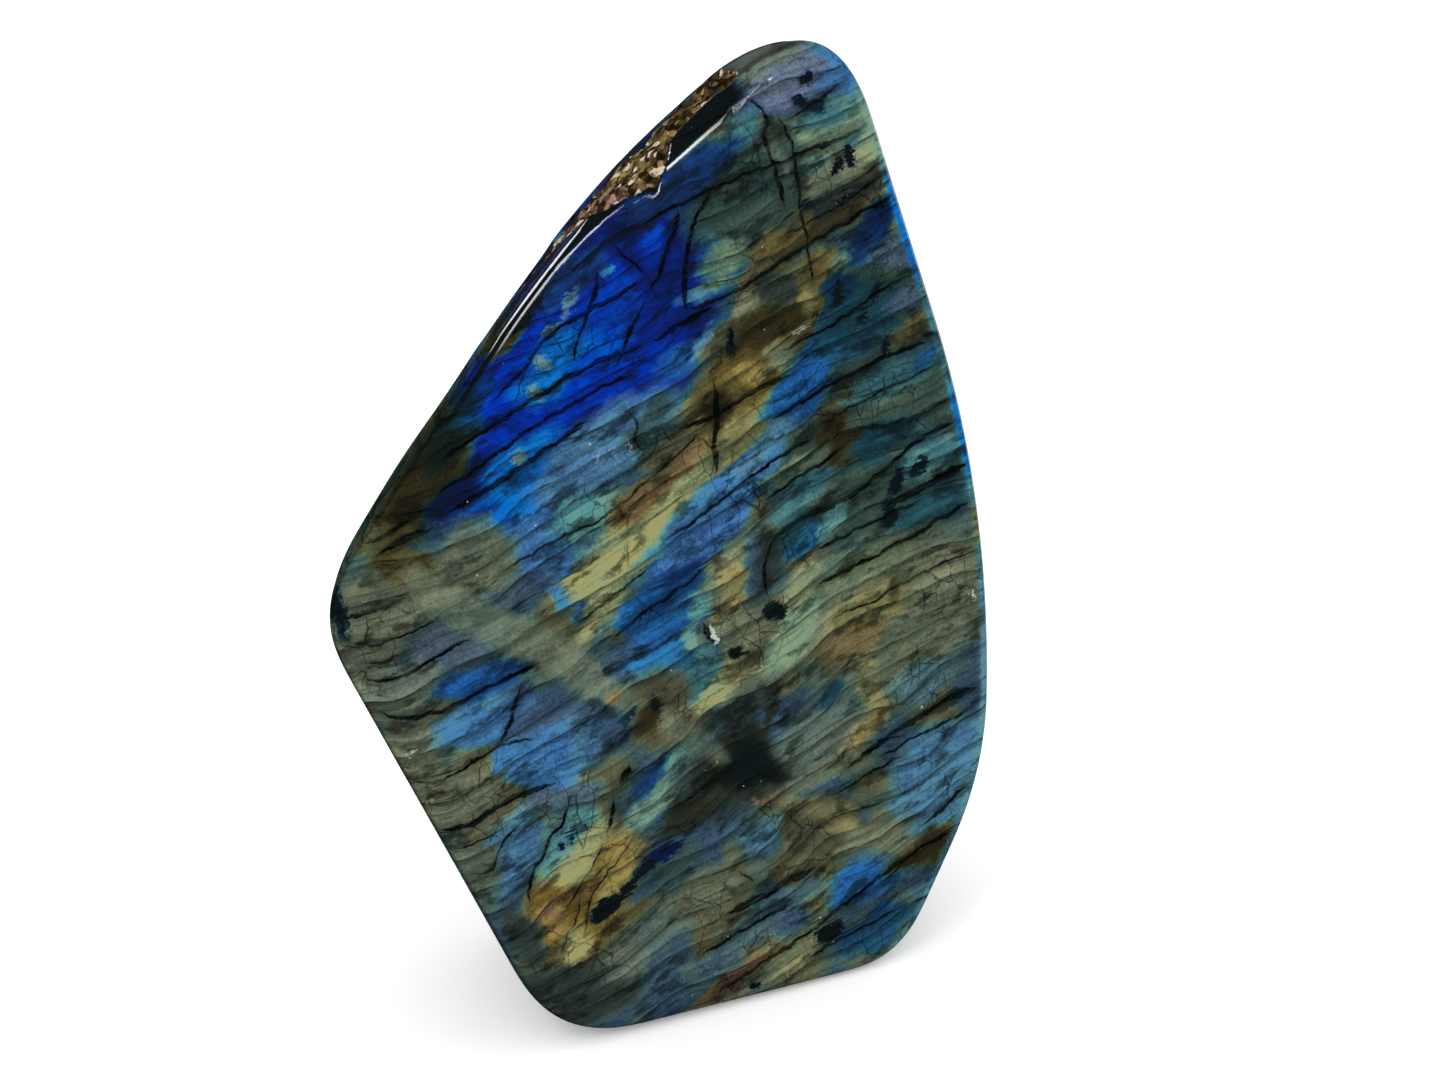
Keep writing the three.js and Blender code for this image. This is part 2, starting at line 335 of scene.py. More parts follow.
        ("slate", 9.4, 12, 6.4, 1.9, 13, 0.6, 0.7),
        ("dusk", 3, 8, 6, 1.8, 16, 0.7, 0.6),
        ("straw", 10.4, 5.4, 5.4, 2.2, 20, 0.6, 0.8),
        ("rust", 1.4, 3.4, 6, 1.2, 18),
    ),
    "lower left": (
        ("graphite", -17, 7.6, 7, 4, -10, 0.5, 1.0),
        ("smoke", -9, 12, 5.6, 3.2, 10, 0.7, 0.7),
    ),
}

# Flashes of the back, which the photograph doesn't show, in rows of the same form
BACK_FLASHES = (
    ("night", 8, 84, 9, 4, 24),
    ("petrol", -4, 74, 10, 4, 22, 0.7, 0.8),
    ("cobalt", 18, 66, 9, 3.4, 20, 0.7, 0.8),
    ("slate", 2, 60, 12, 4, 20, 0.7, 0.7),
    ("bronze", -16, 56, 7, 3, 24, 0.7, 0.7),
    ("cobalt", -6, 44, 9, 3, 22, 0.7, 0.8),
    ("olive", 16, 46, 9, 4, 18, 0.7, 0.8),
    ("petrol", 24, 30, 8, 4, 18, 0.7, 0.8),
    ("slate", 2, 28, 12, 4, 22, 0.7, 0.7),
    ("night", -8, 22, 7, 3, 26, 0.7, 0.8),
    ("steel", 12, 16, 9, 2.4, 18, 0.7, 0.7),
    ("coal", 8, 38, 5, 3, -20),
)

# Flashes of the right rim, where the skin turns away from the face, painted bright as a painted highlight
# along that rim, in rows of the same form
RIM_FLASHES_AND_HIGHLIGHT = (
    ("cornflower", 28, 109.5, 4, 4, 0, 0.6, 1.0),
    ("lichen", 31, 103, 5, 5, 0, 0.6, 1.0),
    ("azure", 35, 91, 6, 7, 0, 0.6, 1.0),
    ("teal", 38, 78, 6, 5, 0),
    ("azure", 40, 65, 6, 6, 0, 0.6, 1.0),
    ("khaki", 41, 53.5, 4, 2.4, 0, 0.6, 0.8),
    ("sky", 41, 36, 6, 11, 0, 0.7, 1.0),
    ("sky", 38, 20, 6, 6, 0, 0.7, 0.6),
)

# Blotches that don't break off at the sheets, such as inclusions and pale spots, in rows of the same form
BLOTCHES = (
    ("cream", -13, 83.3, 1.3, 0.8, -20, 0.8, 0.6),
    ("cream", -14.2, 80.2, 1.1, 0.8, 10, 0.8, 0.6),
    ("cream", -9, 89.6, 2.1, 0.6, 62, 0.8, 0.5),
    ("cream", -11.6, 87.2, 1.4, 0.5, 15, 0.8, 0.5),
    ("straw", -4, 92.2, 1, 0.5, 20, 0.8, 0.5),
    ("cream", -17.2, 73.3, 0.9, 0.9, 0, 0.8, 0.6),
    ("umber", -17.2, 87, 3, 1.2, 38, 0.5, 0.95),
    ("jet", -14, 89.6, 3.2, 0.8, 40, 0.5, 0.9),
    ("jet", 23, 109.8, 0.9, 0.6, 30, 0.5, 1.0),
    ("jet", 22, 107.6, 0.8, 0.7, 0, 0.4, 1.0),
    ("jet", 23.6, 106.6, 1.7, 0.8, -10, 0.7, 0.7),
    ("jet", 26, 99.4, 1.2, 0.5, 60, 0.3, 1.0),
    ("jet", 27.8, 100.2, 1.2, 0.6, 100, 0.3, 1.0),
    ("jet", 24.4, 84.6, 1.4, 0.5, 70, 0.5, 0.9),
    ("jet", 29.4, 84, 1.3, 0.5, 60, 0.6, 0.8),
    ("jet", 27.4, 81.4, 1.3, 0.5, 40, 0.6, 0.8),
    ("jet", 30, 77.2, 1.4, 0.5, 80, 0.6, 0.8),
    ("jet", 10.2, 81.6, 1.6, 0.5, 80, 0.6, 0.8),
    ("jet", 21.6, 95.4, 1, 0.6, 20, 0.6, 0.8),
    ("jet", 26.4, 95.6, 1.2, 0.4, 20, 0.6, 0.8),
    ("jet", 33, 62, 1.6, 0.7, 40, 0.4, 0.9),
    ("jet", 30, 60.6, 1.8, 0.9, 60, 0.5, 0.9),
    ("jet", 28.6, 57, 1, 1.6, 0, 0.5, 0.8),
    ("jet", -13, 17.3, 2.2, 1.1, 30, 0.4, 1.0),
    ("jet", -9.8, 19.2, 1.6, 0.7, 40, 0.4, 1.0),
    ("ink", -4.6, 22.4, 2.2, 0.9, 15, 0.4, 1.0),
    ("jet", -7.6, 21, 1.8, 0.7, 20, 0.5, 0.9),
    ("ink", -16.4, 27.4, 0.5, 0.4, 60, 0.4, 1.0),
    ("ink", -17.6, 26.4, 0.6, 0.4, 60, 0.4, 1.0),
    ("jet", 15.6, 6.6, 1.8, 1.3, 20, 0.4, 1.0),
    ("jet", 5.2, 2.4, 0.5, 0.4, 0, 0.4, 1.0),
    ("jet", 12.4, 48.6, 1.4, 0.9, -20, 0.4, 0.9),
    ("jet", 7.2, 44.6, 1.2, 0.6, 0, 0.4, 0.9),
    ("rust", 8.5, 25.7, 1.3, 0.5, 0, 0.5, 0.9),
    ("umber", -5, 39.4, 2.6, 1.6, 60, 0.7, 0.85),
    ("jet", -7.6, 40.4, 1.4, 0.5, 30, 0.7, 0.7),
    ("jet", -4, 41, 1, 0.7, 60, 0.7, 0.8),
    ("mauve", -9.2, 42.8, 1.1, 0.8, 0, 0.5, 0.6),
    ("jet", -40.4, 60.4, 4, 0.9, 96, 0.8, 0.9),
)

# Pale chips, scratches and crystals in the polish, in rows of the same form. The one at 4.2, 47.4 is a
# white crystal in a pit with its glint painted in, and the one at 19.2, 81.4 is a painted glint
CHIPS_AND_GLINTS = (
    ("chip", 4.2, 47.4, 1.2, 0.35, 110, 0.3, 0.95),
    ("chip", 38.8, 44.6, 0.8, 0.25, 95, 0.3, 0.7),
    ("chip", 19.2, 81.4, 1.1, 0.14, 12, 0.4, 0.5),
    ("chip", -7.6, 71.8, 0.9, 0.12, 100, 0.5, 0.35),
    ("chip", -5.8, 71.4, 0.9, 0.12, 95, 0.5, 0.3),
    ("chip", -3.6, 72, 1.1, 0.12, 100, 0.5, 0.3),
    ("chip", -34.2, 41.8, 0.8, 0.14, 30, 0.5, 0.6),
)

# The grey-green vein, from the left edge past the dark heart: half width, then x and z of its corners
VEIN = (
    (2.4, (-33, 62.6), (-29, 59.2), (-22, 54.2), (-15.4, 49.4), (-12, 46.4), (-8.6, 43.2)),
    (1.5, (-12, 45.6), (-7, 41.6), (-3, 38.6), (1, 35.4), (5, 31.6)),
)

# Cracks and strong cleavage lines: half width, then x and z of their corners
CRACKS = (
    (0.26, (0, 96.6), (5, 98.2), (15, 100.4), (20, 101.2), (30, 103.2)),
    (0.3, (13.5, 110), (16, 108.3), (17.5, 106), (17.2, 104.4), (18, 100), (18.8, 95.4)),
    (0.21, (18.4, 107), (19.9, 104.4), (20.6, 100), (20.8, 95), (21.2, 90), (21.4, 86)),
    (0.21, (19.5, 105.3), (24, 107.2), (28.4, 109.2)),
    (0.3, (5, 86.2), (11, 87.2), (20, 90.5), (33, 94.8)),
    (0.18, (18, 92.6), (26, 95), (32, 97.6)),
    (0.36, (0, 83.2), (5, 85), (9, 86.2)),
    (0.34, (10.4, 100), (9, 98.4), (7.2, 95.8), (5.8, 92), (5, 88.5), (5.2, 85.8)),
    (0.36, (5.4, 98.2), (4.6, 95.6), (3, 92.6), (2, 90.6), (0.5, 88.6)),
    (0.25, (-3, 95.5), (-1, 93), (0.8, 90.8)),
    (0.3, (-20, 80), (-16, 82.8), (-12, 86.3), (-7, 88.2), (0, 90.4)),
    (0.28, (-5, 92.8), (-6.5, 89), (-8.2, 86), (-9.6, 82.4)),
    (0.28, (0.5, 88.6), (-2, 85.5), (-3.8, 82), (-4.8, 80.8)),
    (0.32, (-27, 74.6), (-20, 77.4), (-14, 79.8), (-8, 82), (0, 83.2)),
    (0.26, (-28, 70.6), (-22, 73.2), (-16, 76), (-9, 78.6), (-2, 80.4)),
    (0.34, (-27, 68.4), (-20, 71), (-14, 73.6), (-8, 76)),
    (0.4, (7.4, 78), (7.6, 74), (6.9, 70.4), (6.6, 66.6)),
    (0.34, (2, 73), (7, 73.4), (12, 75.2), (18, 76.4)),
    (0.29, (10.6, 83.6), (10.3, 80.4)),
    (0.19, (-4, 76.6), (-2.6, 74.4), (-2.8, 72), (-1, 70.2)),
    (0.2, (-21, 60.6), (-14, 63), (-8, 64.4), (0, 68.8), (6, 72)),
    (0.18, (-13, 52.2), (-8, 54.8), (-2, 57.8)),
    (0.25, (-9, 49.4), (-4, 52.2), (1, 54.2), (6, 57)),
    (0.3, (-1, 60), (4, 61.9), (8, 64), (14, 66.6), (20, 68.4)),
    (0.23, (12, 62), (17, 64), (24, 66.6)),
    (0.36, (12, 57.2), (17, 58.9), (22, 60), (28, 62.4), (33, 65), (39, 66.6)),
    (0.5, (28, 58), (33, 59.4), (40, 61)),
    (0.29, (18, 54.8), (25, 56.4), (33, 58)),
    (0.29, (18, 50.6), (25, 52.2), (32, 54), (40, 56.5)),
    (0.22, (20, 46), (27, 47.4), (34, 49.4), (40, 50)),
    (0.32, (14, 71.2), (20, 73.4), (26, 75.2), (36, 77)),
    (0.22, (20, 69.6), (28, 71.8), (37, 74)),
    (0.22, (16, 79.4), (24, 81.4), (30, 84), (35, 85.4)),
    (0.25, (12, 50), (11.4, 53), (12.6, 56.4), (14.4, 58.6)),
    (0.36, (3.2, 49.4), (3.4, 47.6), (4.4, 46)),
    (0.36, (-40.5, 59.2), (-36, 59.4), (-32, 60.2)),
    (0.3, (-37, 67), (-34, 67.6), (-30, 69.2)),
    (0.4, (-35.4, 65.4), (-32, 66.6), (-28, 67.2)),
    (0.19, (-40, 56.6), (-37, 55.4), (-33, 55.8), (-28, 57.4), (-24, 59)),
    (0.19, (-38.6, 53.6), (-36, 53.3), (-33, 53.8)),
    (0.27, (-39, 53), (-37.4, 51.2), (-34, 51), (-30, 52.4), (-25, 53.8)),
    (0.34, (-37.6, 47.4), (-35, 46.2), (-32, 45.8), (-26, 46.9), (-20, 48.4), (-15, 49.2)),
    (0.29, (-20.2, 47.2), (-21.5, 44), (-23.2, 41), (-25, 39.5)),
    (0.23, (-35, 38), (-30, 38), (-25, 39.8), (-19, 40.4)),
    (0.34, (-32, 31.4), (-28, 31.8), (-24, 33.2), (-17, 34.4)),
    (0.19, (-31, 29.2), (-27, 29.4), (-24, 30.4)),
    (0.26, (-28.6, 25.3), (-25.6, 26.2), (-25, 28), (-22, 30.6)),
    (0.28, (-22.4, 20), (-22, 22.4), (-21, 24.6), (-18.6, 27.6), (-16.6, 30), (-15.8, 32)),
    (0.3, (-12.2, 26.2), (-11, 28.4), (-10.4, 31)),
    (0.5, (-9.4, 32), (-7.8, 34.2)),
    (0.19, (-18.6, 17.6), (-16.4, 20.4), (-13.6, 23.4), (-12.2, 26.2)),
    (0.17, (-16, 14.6), (-15, 18), (-13, 21), (-10, 23.6), (-8, 26)),
    (0.15, (-19, 12), (-18.2, 15), (-16.8, 17), (-15.6, 20)),
    (0.15, (-15.6, 22), (-12.6, 22.4), (-11, 24.4)),
    (0.22, (-5, 27), (-1, 28.4), (3, 30)),
    (0.5, (2, 12.4), (8, 14), (15, 15.6)),
    (0.25, (-2, 8), (5, 10.2), (12, 12)),
    (0.3, (0, 2.8), (6, 5), (12, 7), (18, 9.8), (24, 12.4), (30, 14.6), (34, 15.2)),
    (0.23, (12, 4), (18, 5.6), (26, 7.4)),
    (0.42, (20, 27), (26, 29.6), (33, 32), (39, 33.2)),
    (0.22, (24, 27.2), (31, 29), (38, 30.6)),
    (0.29, (29, 17), (33, 19), (36.4, 21)),
    (0.23, (4, 17.8), (5.8, 16.2), (6.2, 15.4)),
    (0.23, (17, 24), (23, 25.6), (28, 27)),
)


# Settings

class StoneSettings(bpy.types.PropertyGroup):
    """What a user would change on the stone"""
    levels: IntProperty(
        name="Subdivision", description="How many times the solid's skin is subdivided",
        default=2, min=0, max=3)
    rind_relief: FloatProperty(
        name="Rind relief", description="Height of the rough crystals of the rind",
        default=0.0011, unit="LENGTH")
    line_spacing: FloatProperty(
        name="Cleavage spacing", description="Usual distance between cleavage lines",
        default=0.0021, unit="LENGTH")
    body_colour: FloatVectorProperty(
        name="Body", description="Colour of the stone where no flash shows",
        subtype="COLOR_GAMMA", size=3, default=(0.05, 0.065, 0.055), min=0.0, max=1.0)
    milk_colour: FloatVectorProperty(
        name="Milk", description="Colour of the milkiness in pale flashes",
        subtype="COLOR_GAMMA", size=3, default=(0.47, 0.51, 0.46), min=0.0, max=1.0)
    crack_colour: FloatVectorProperty(
        name="Cracks", description="Colour of the cracks and the cleavage lines",
        subtype="COLOR_GAMMA", size=3, default=(0.01, 0.018, 0.022), min=0.0, max=1.0)
    rind_colour: FloatVectorProperty(
        name="Rind", description="Colour of the rind's crystals",
        subtype="COLOR_GAMMA", size=3, default=(0.62, 0.52, 0.33), min=0.0, max=1.0)
    gloss: FloatProperty(
        name="Polish roughness", description="Roughness of the polished skin",
        default=0.06, min=0.0, max=1.0, subtype="FACTOR")


class StudioSettings(bpy.types.PropertyGroup):
    """What a user would change in the studio"""
    floor_size: FloatProperty(
        name="Floor", description="Width of the floor", default=6.0, unit="LENGTH")
    floor_colour: FloatVectorProperty(
        name="Floor colour", description="Colour of the floor", subtype="COLOR",
        size=3, default=(0.98, 0.98, 0.98), min=0.0, max=1.0)
    floor_lift: FloatProperty(
        name="Floor lift", description="Light that the floor gives off, so that its shadows stay pale",
        default=0.2, min=0.0, max=1.0, subtype="FACTOR")
    key_power: FloatProperty(
        name="Key light", description="Power of the soft box at the upper left",
        default=0.4, unit="POWER")
    gleam: FloatProperty(
        name="Gleam", description="Power of the panels that show as white lines in the polish",
        default=9.0, unit="POWER")


def linear(values):
    """A colour as it looks on a screen, turned into what a shader takes"""
    return (*Color(values).from_srgb_to_scene_linear(), 1.0)


# Nodes

class Nodes:
    """Adds nodes to one tree. An input is a value to set or a socket to link."""

    def __init__(self, tree):
        self.tree = tree

    def put(self, kind, inputs=(), out=0, **settings):
        """Adds a node and gives one of its outputs"""
        node = self.tree.nodes.new(kind)
        for name, value in settings.items():
            setattr(node, name, value)
        for key, value in dict(inputs).items():
            if isinstance(value, bpy.types.NodeSocket):
                self.tree.links.new(value, node.inputs[key])
            else:
                node.inputs[key].default_value = value
        return node.outputs[out]

    def show(self, kind, shader):
        """Adds an output node for a shader"""
        self.tree.links.new(shader, self.tree.nodes.new(kind).inputs["Surface"])

    def math(self, operation, *values):
        return self.put("ShaderNodeMath", enumerate(values), operation=operation)

    def add(self, *values):
        total = values[0]
        for value in values[1:]:
            total = self.math("ADD", total, value)
        return total

    def times(self, *values):
        product = values[0]
        for value in values[1:]:
            product = self.math("MULTIPLY", product, value)
        return product

    def most(self, *values):
        highest = values[0]
        for value in values[1:]:
            highest = self.math("MAXIMUM", highest, value)
        return highest

    def swing(self, value, amount):
        """A random value from 0 to 1, turned into a swing of an amount about zero"""
        return self.math("MULTIPLY_ADD", value, amount, -amount / 2)

    def vector(self, operation, *values, out="Vector"):
        return self.put("ShaderNodeVectorMath", enumerate(values), out, operation=operation)

    def scaled(self, vector, factor):
        return self.put("ShaderNodeVectorMath", {0: vector, 3: factor}, operation="SCALE")

    def join(self, x, y, z):
        return self.put("ShaderNodeCombineXYZ", {0: x, 1: y, 2: z})

    def parts(self, vector):
        return tuple(self.put("ShaderNodeSeparateXYZ", {0: vector}).node.outputs)

    def step(self, value, low, high, bottom=0.0, top=1.0):
        """A smooth step from one value to another as a number goes from low to high"""
        return self.put(
            "ShaderNodeMapRange", {0: value, 1: low, 2: high, 3: bottom, 4: top},
            interpolation_type="SMOOTHSTEP", clamp=False)

    def steps(self, vector, low, high, bottom, top):
        """Three smooth steps at once"""
        return self.put(
            "ShaderNodeMapRange", {6: vector, 7: low, 8: high, 9: bottom, 10: top}, 1,
            data_type="FLOAT_VECTOR", interpolation_type="SMOOTHSTEP", clamp=False)

    def mix(self, share, under, over):
        """One colour over another"""
        return self.put("ShaderNodeMix", {0: share, 6: under, 7: over}, 2, data_type="RGBA")

    def blend(self, share, under, over):
        """One vector over another"""
        return self.put("ShaderNodeMix", {0: share, 4: under, 5: over}, 1, data_type="VECTOR")

    def noise(self, place, scale, detail, rough=0.5, out="Fac"):
        return self.put(
            "ShaderNodeTexNoise",
            {"Vector": place, "Scale": scale, "Detail": detail, "Roughness": rough}, out)

    def cells(self, place, scale, out="Distance", feature="F1"):
        return self.put(
            "ShaderNodeTexVoronoi", {"Vector": place, "Scale": scale}, out, feature=feature)

    def stretched(self, place, scale):
        return self.put("ShaderNodeMapping", {"Vector": place, "Scale": scale})

    def curves(self, vector, tables, handle):
        """Three curves at once, one for each part of a vector, from their points"""
        curved = self.put("ShaderNodeVectorCurve", {"Vector": vector})
        mapping = curved.node.mapping
        mapping.use_clip = False
        for curve, table in zip(mapping.curves, tables):
            for place in table[2:]:
                curve.points.new(*place)
            for point, place in zip(curve.points, table):
                point.location = place
                point.handle_type = handle
        mapping.update()
        return curved


def empty_nodes(owner):
    """The nodes of a new material or world, to be filled"""
    owner.use_nodes = True
    owner.node_tree.nodes.clear()
    return Nodes(owner.node_tree)


def new_group(name, inputs, outputs):
    """A node group with named inputs and outputs: its nodes, its inputs and its outputs"""
    tree = bpy.data.node_groups.new(name, "ShaderNodeTree")
    for label, kind in inputs:
        tree.interface.new_socket(label, in_out="INPUT", socket_type="NodeSocket" + kind)
    for label, kind in outputs:
        tree.interface.new_socket(label, in_out="OUTPUT", socket_type="NodeSocket" + kind)
    given = tree.nodes.new("NodeGroupInput").outputs
    result = tree.nodes.new("NodeGroupOutput").inputs
    return Nodes(tree), given, result


def threes(rows):
    """Rows in threes: a vector's three parts work out three shapes at once"""
    return [rows[start:start + 3] for start in range(0, len(rows), 3)]


def three_parts(values, spare):
    """Values as the three parts of a vector, filled up with a spare one"""
    return (*values, spare, spare)[:3]


LENS_SPREAD = 1.3        # a lens reaches this much further than its row says, because its edge fades
FAR = 9.0                # further away than any lens or crack reaches


def lens_factors(x, z, half_length, half_width, turn, fade=USUAL_FADE, opacity=USUAL_OPACITY):
    """Factors of x and z, and offsets, that turn a place into shares of a lens's two half axes"""
    half_length, half_width = half_length * LENS_SPREAD, half_width * LENS_SPREAD
    cos, sin = math.cos(math.radians(turn)), math.sin(math.radians(turn))
    along = cos / half_length, sin / half_length, -(x * cos + z * sin) / half_length
    across = -sin / half_width, cos / half_width, (x * sin - z * cos) / half_width
    return (*along, *across, (1 - fade) ** 2, opacity)


NO_LENS = (0.0, 0.0, FAR, 0.0, 0.0, FAR, 0.0, 0.0)


def flash_group(name, rows):
    """Soft-edged lenses painted over each other: each part of Flash moves to its kind's value"""
    nodes, given, result = new_group(
        name, [("X", "Vector"), ("Z", "Vector"), ("Flash", "Vector")], [("Flash", "Vector")])
    flash = given["Flash"]
    for three in threes(rows):
        lenses = three_parts([lens_factors(*shape) for _, *shape in three], NO_LENS)
        along_x, along_z, along, across_x, across_z, across, full, opacity = zip(*lenses)
        along = nodes.vector("MULTIPLY_ADD", given["X"], along_x, along)
        along = nodes.vector("MULTIPLY_ADD", given["Z"], along_z, along)
        across = nodes.vector("MULTIPLY_ADD", given["X"], across_x, across)
        across = nodes.vector("MULTIPLY_ADD", given["Z"], across_z, across)
        reach = nodes.vector("MULTIPLY_ADD", along, along, nodes.vector("MULTIPLY", across, across))
        masks = nodes.steps(reach, (1, 1, 1), full, (0, 0, 0), opacity)
        for (kind, *_), part in zip(three, ((1, 0, 0), (0, 1, 0), (0, 0, 1))):
            mask = nodes.vector("DOT_PRODUCT", masks, part, out="Value")
            flash = nodes.blend(mask, flash, KINDS[kind])
    nodes.tree.links.new(flash, result["Flash"])
    return nodes.tree


SHADE_REACH = 1.8        # mm beside a crack over which the stone is shaded
LONGEST_TAPER = 2.0      # mm over which a crack's end narrows to nothing, on a crack that is long enough


def crack_factors(width, *corners):
    """A crack's course, its half width along it, and the factor that turns a height above it into
    minus the distance from it"""
    corners = sorted(corners)
    start, end = corners[0], corners[-1]
    taper = min(LONGEST_TAPER, (end[0] - start[0]) / 3)
    widths = ((start[0] - SHADE_REACH, -SHADE_REACH), (start[0], 0), (start[0] + taper, width),
              (end[0] - taper, width), (end[0], 0), (end[0] + SHADE_REACH, -SHADE_REACH))
    slope = math.atan2(end[1] - start[1], end[0] - start[0])
    return corners, widths, -math.cos(slope)


NO_CRACK = (((0, 0), (1, 0)), ((0, -FAR), (1, -FAR)), -1.0)


def crack_group(name, rows):
    """How deep a place lies in the nearest of many cracks, in mm from its edge, below zero outside.
    A crack's course is a curve Across over Along, and it tapers at both ends."""
    nodes, given, result = new_group(
        name, [("Along", "Vector"), ("Across", "Vector")], [("Depth", "Float")])
    deepest = (-FAR, -FAR, -FAR)
    for three in threes(rows):
        cracks = three_parts([crack_factors(*row) for row in three], NO_CRACK)
        courses, widths, factors = zip(*cracks)
        course = nodes.curves(given["Along"], courses, "AUTO")
        width = nodes.curves(given["Along"], widths, "VECTOR")
        away = nodes.vector("ABSOLUTE", nodes.vector("SUBTRACT", given["Across"], course))
        depth = nodes.vector("MULTIPLY_ADD", away, factors, width)
        deepest = nodes.vector("MAXIMUM", deepest, depth)
    nodes.tree.links.new(nodes.most(*nodes.parts(deepest)), result["Depth"])
    return nodes.tree


def turned_over(rows):
    """Steep cracks with x and z changed over, so that their course is x over z"""
    return [(width, *((z, x) for x, z in corners)) for width, *corners in rows]


def is_level(row):
    """Whether a crack runs further sideways than up"""
    _, *corners = row
    (x_a, z_a), (x_b, z_b) = corners[0], corners[-1]
    return abs(x_b - x_a) >= abs(z_b - z_a)


class Face:
    """Places on the face for one material: X and Z as vectors of three like parts"""

    def __init__(self, nodes, flat):
        self.nodes = nodes
        x, _, z = nodes.parts(flat)
        self.x = nodes.join(x, x, x)
        self.z = nodes.join(z, z, z)

    def flashes(self, flash, name, rows):
        return self.nodes.put(
            "ShaderNodeGroup", {"X": self.x, "Z": self.z, "Flash": flash},
            node_tree=flash_group(name, rows))

    def cracks(self, name, rows):
        """Depth in the nearest crack"""
        level = [row for row in rows if is_level(row)]
        steep = turned_over([row for row in rows if not is_level(row)])
        depths = []
        for label, along, across, chosen in (
                ("level", self.x, self.z, level), ("steep", self.z, self.x, steep)):
            if chosen:
                depths.append(self.nodes.put(
                    "ShaderNodeGroup", {"Along": along, "Across": across},
                    node_tree=crack_group(f"{name}, {label}", chosen)))
        return self.nodes.most(*depths)


# The stone's shape

SOLID_MERGE = 0.02       # mm: points of the solid that are nearer are one point
QUAD_BEND = math.radians(60)       # how far two triangles may bend, and a quad may be out of square
QUAD_SKEW = math.radians(80)


def only(piece):
    """Selects one piece and makes it the active one"""
    bpy.ops.object.select_all(action="DESELECT")
    piece.select_set(True)
    bpy.context.view_layer.objects.active = piece


def copy_of_node(name, label):
    """A merged copy of a solid's mesh, in quads, without the solid's own properties"""
    piece = frame["nodes"][name].copy()
    piece.data = piece.data.copy()
    piece.name = piece.data.name = label
    piece.parent = None
    for key in list(piece.keys()):
        del piece[key]
    bpy.context.scene.collection.objects.link(piece)
    only(piece)
    bpy.ops.object.mode_set(mode="EDIT")
    bpy.ops.mesh.select_all(action="SELECT")
    bpy.ops.mesh.remove_doubles(threshold=SOLID_MERGE * MM)
    bpy.ops.mesh.tris_convert_to_quads(face_threshold=QUAD_BEND, shape_threshold=QUAD_SKEW)
    bpy.ops.object.mode_set(mode="OBJECT")
    return piece


def smoothed(piece, levels):
    """Subdivides a piece with its surface smoothed"""
    only(piece)
    rounding = piece.modifiers.new("Rounding", "SUBSURF")
    rounding.levels = rounding.render_levels = levels
    bpy.ops.object.modifier_apply(modifier=rounding.name)


def between(table, place):
    """A value from a table of places and values, on a straight line between two places"""
    after = next(index for index, (at, _) in enumerate(table) if at > place)
    (start, low), (end, high) = table[after - 1:after + 1]
    return low + (high - low) * (place - start) / (end - start)


# The rind lies behind the upper left rim. Over x: the height of that rim, and how far behind the rim the
# rind starts. Where that is below zero, the rind bites into the face. All in mm.
RIM = ((-16, 89.6), (-12.5, 93.6), (-6.5, 98.4), (-0.5, 102.4), (5.5, 107), (11.5, 109.9), (16, 111.7))
RIND_START = ((-16, 9), (-10, 5), (-6.5, 0.3), (-3.5, -2), (0, -3.8), (3, -5.4), (4.4, -4.6), (5.6, -1.4),
              (8, -0.4), (12, 0.4), (14, 0.2), (15.4, 2), (16, 8))
RIND_END = 15            # mm behind the face where the rind ends
RIND_EDGE = 1.6          # mm over which it sets in
RELIEF_FROM = 0.4        # the share of the rind from which its crystals rise
WALL_FALL = 0.66         # the wall falls by this for each mm behind the rim
CRYSTAL_SIZE = 2.4       # mm from one large crystal to the next
CRUMB_SIZE = 0.8         # mm, the same for the crumbs on them, which are half as high
RELIEF_SUNK = 0.75       # the share of the relief that lies below the solid's skin


def rind_share(point):
    """How much of the rind shows at a point of the skin, from 0 to 1"""
    x, y, z = point / MM
    if not RIM[0][0] < x < RIM[-1][0]:
        return 0.0
    behind_face = y - GROUND_FRONT - z * FACE_LEAN
    behind_rim = (1 + WALL_FALL) * behind_face - (between(RIM, x) - z)
    share = min(behind_rim - between(RIND_START, x), RIND_END - behind_face) / RIND_EDGE
    return min(max(share, 0.0), 1.0)


def mark_rind(piece):
    """Writes the rind's share to a vertex group for the relief and an attribute for the finish"""
    shares = [rind_share(vertex.co) for vertex in piece.data.vertices]
    group = piece.vertex_groups.new(name="rind relief")
    for index, share in enumerate(shares):
        if share > RELIEF_FROM:
            group.add([index], (share - RELIEF_FROM) / (1 - RELIEF_FROM), "REPLACE")
    marks = piece.data.attributes.new("rind", "FLOAT", "POINT")
    marks.data.foreach_set("value", shares)


def roughened(piece, kind, size, height):
    """Raises the rind by a noise texture of one size"""
    texture = bpy.data.textures.new(f"rind {kind}", kind)
    texture.noise_scale = size
    only(piece)
    relief = piece.modifiers.new("Rind relief", "DISPLACE")
    relief.texture = texture
    relief.texture_coords = "LOCAL"
    relief.vertex_group = "rind relief"
    relief.strength = height
    relief.mid_level = RELIEF_SUNK
    bpy.ops.object.modifier_apply(modifier=relief.name)


# The polished facet below the rind: the ends of its lower edge on the face as x and z, in mm, and how
# far it leans back from the face
FACET_START = (-8, 96.6)
FACET_END = (15, 109.4)
FACET_LEAN = math.radians(29)
FACET_EDGE = 0.34        # mm behind the facet's plane to where the polish starts to round over its edge
FACE_EDGE = 0.1          # mm, the same behind the face's plane
FACET_REACH = 8          # mm behind the facet's plane to which the skin is cut
FACET_MERGE = 0.1        # mm: points beside a cut that are nearer are merged


def on_face(x, z):
    """A point of the flat face"""
    return Vector((x, GROUND_FRONT + z * FACE_LEAN, z)) * MM


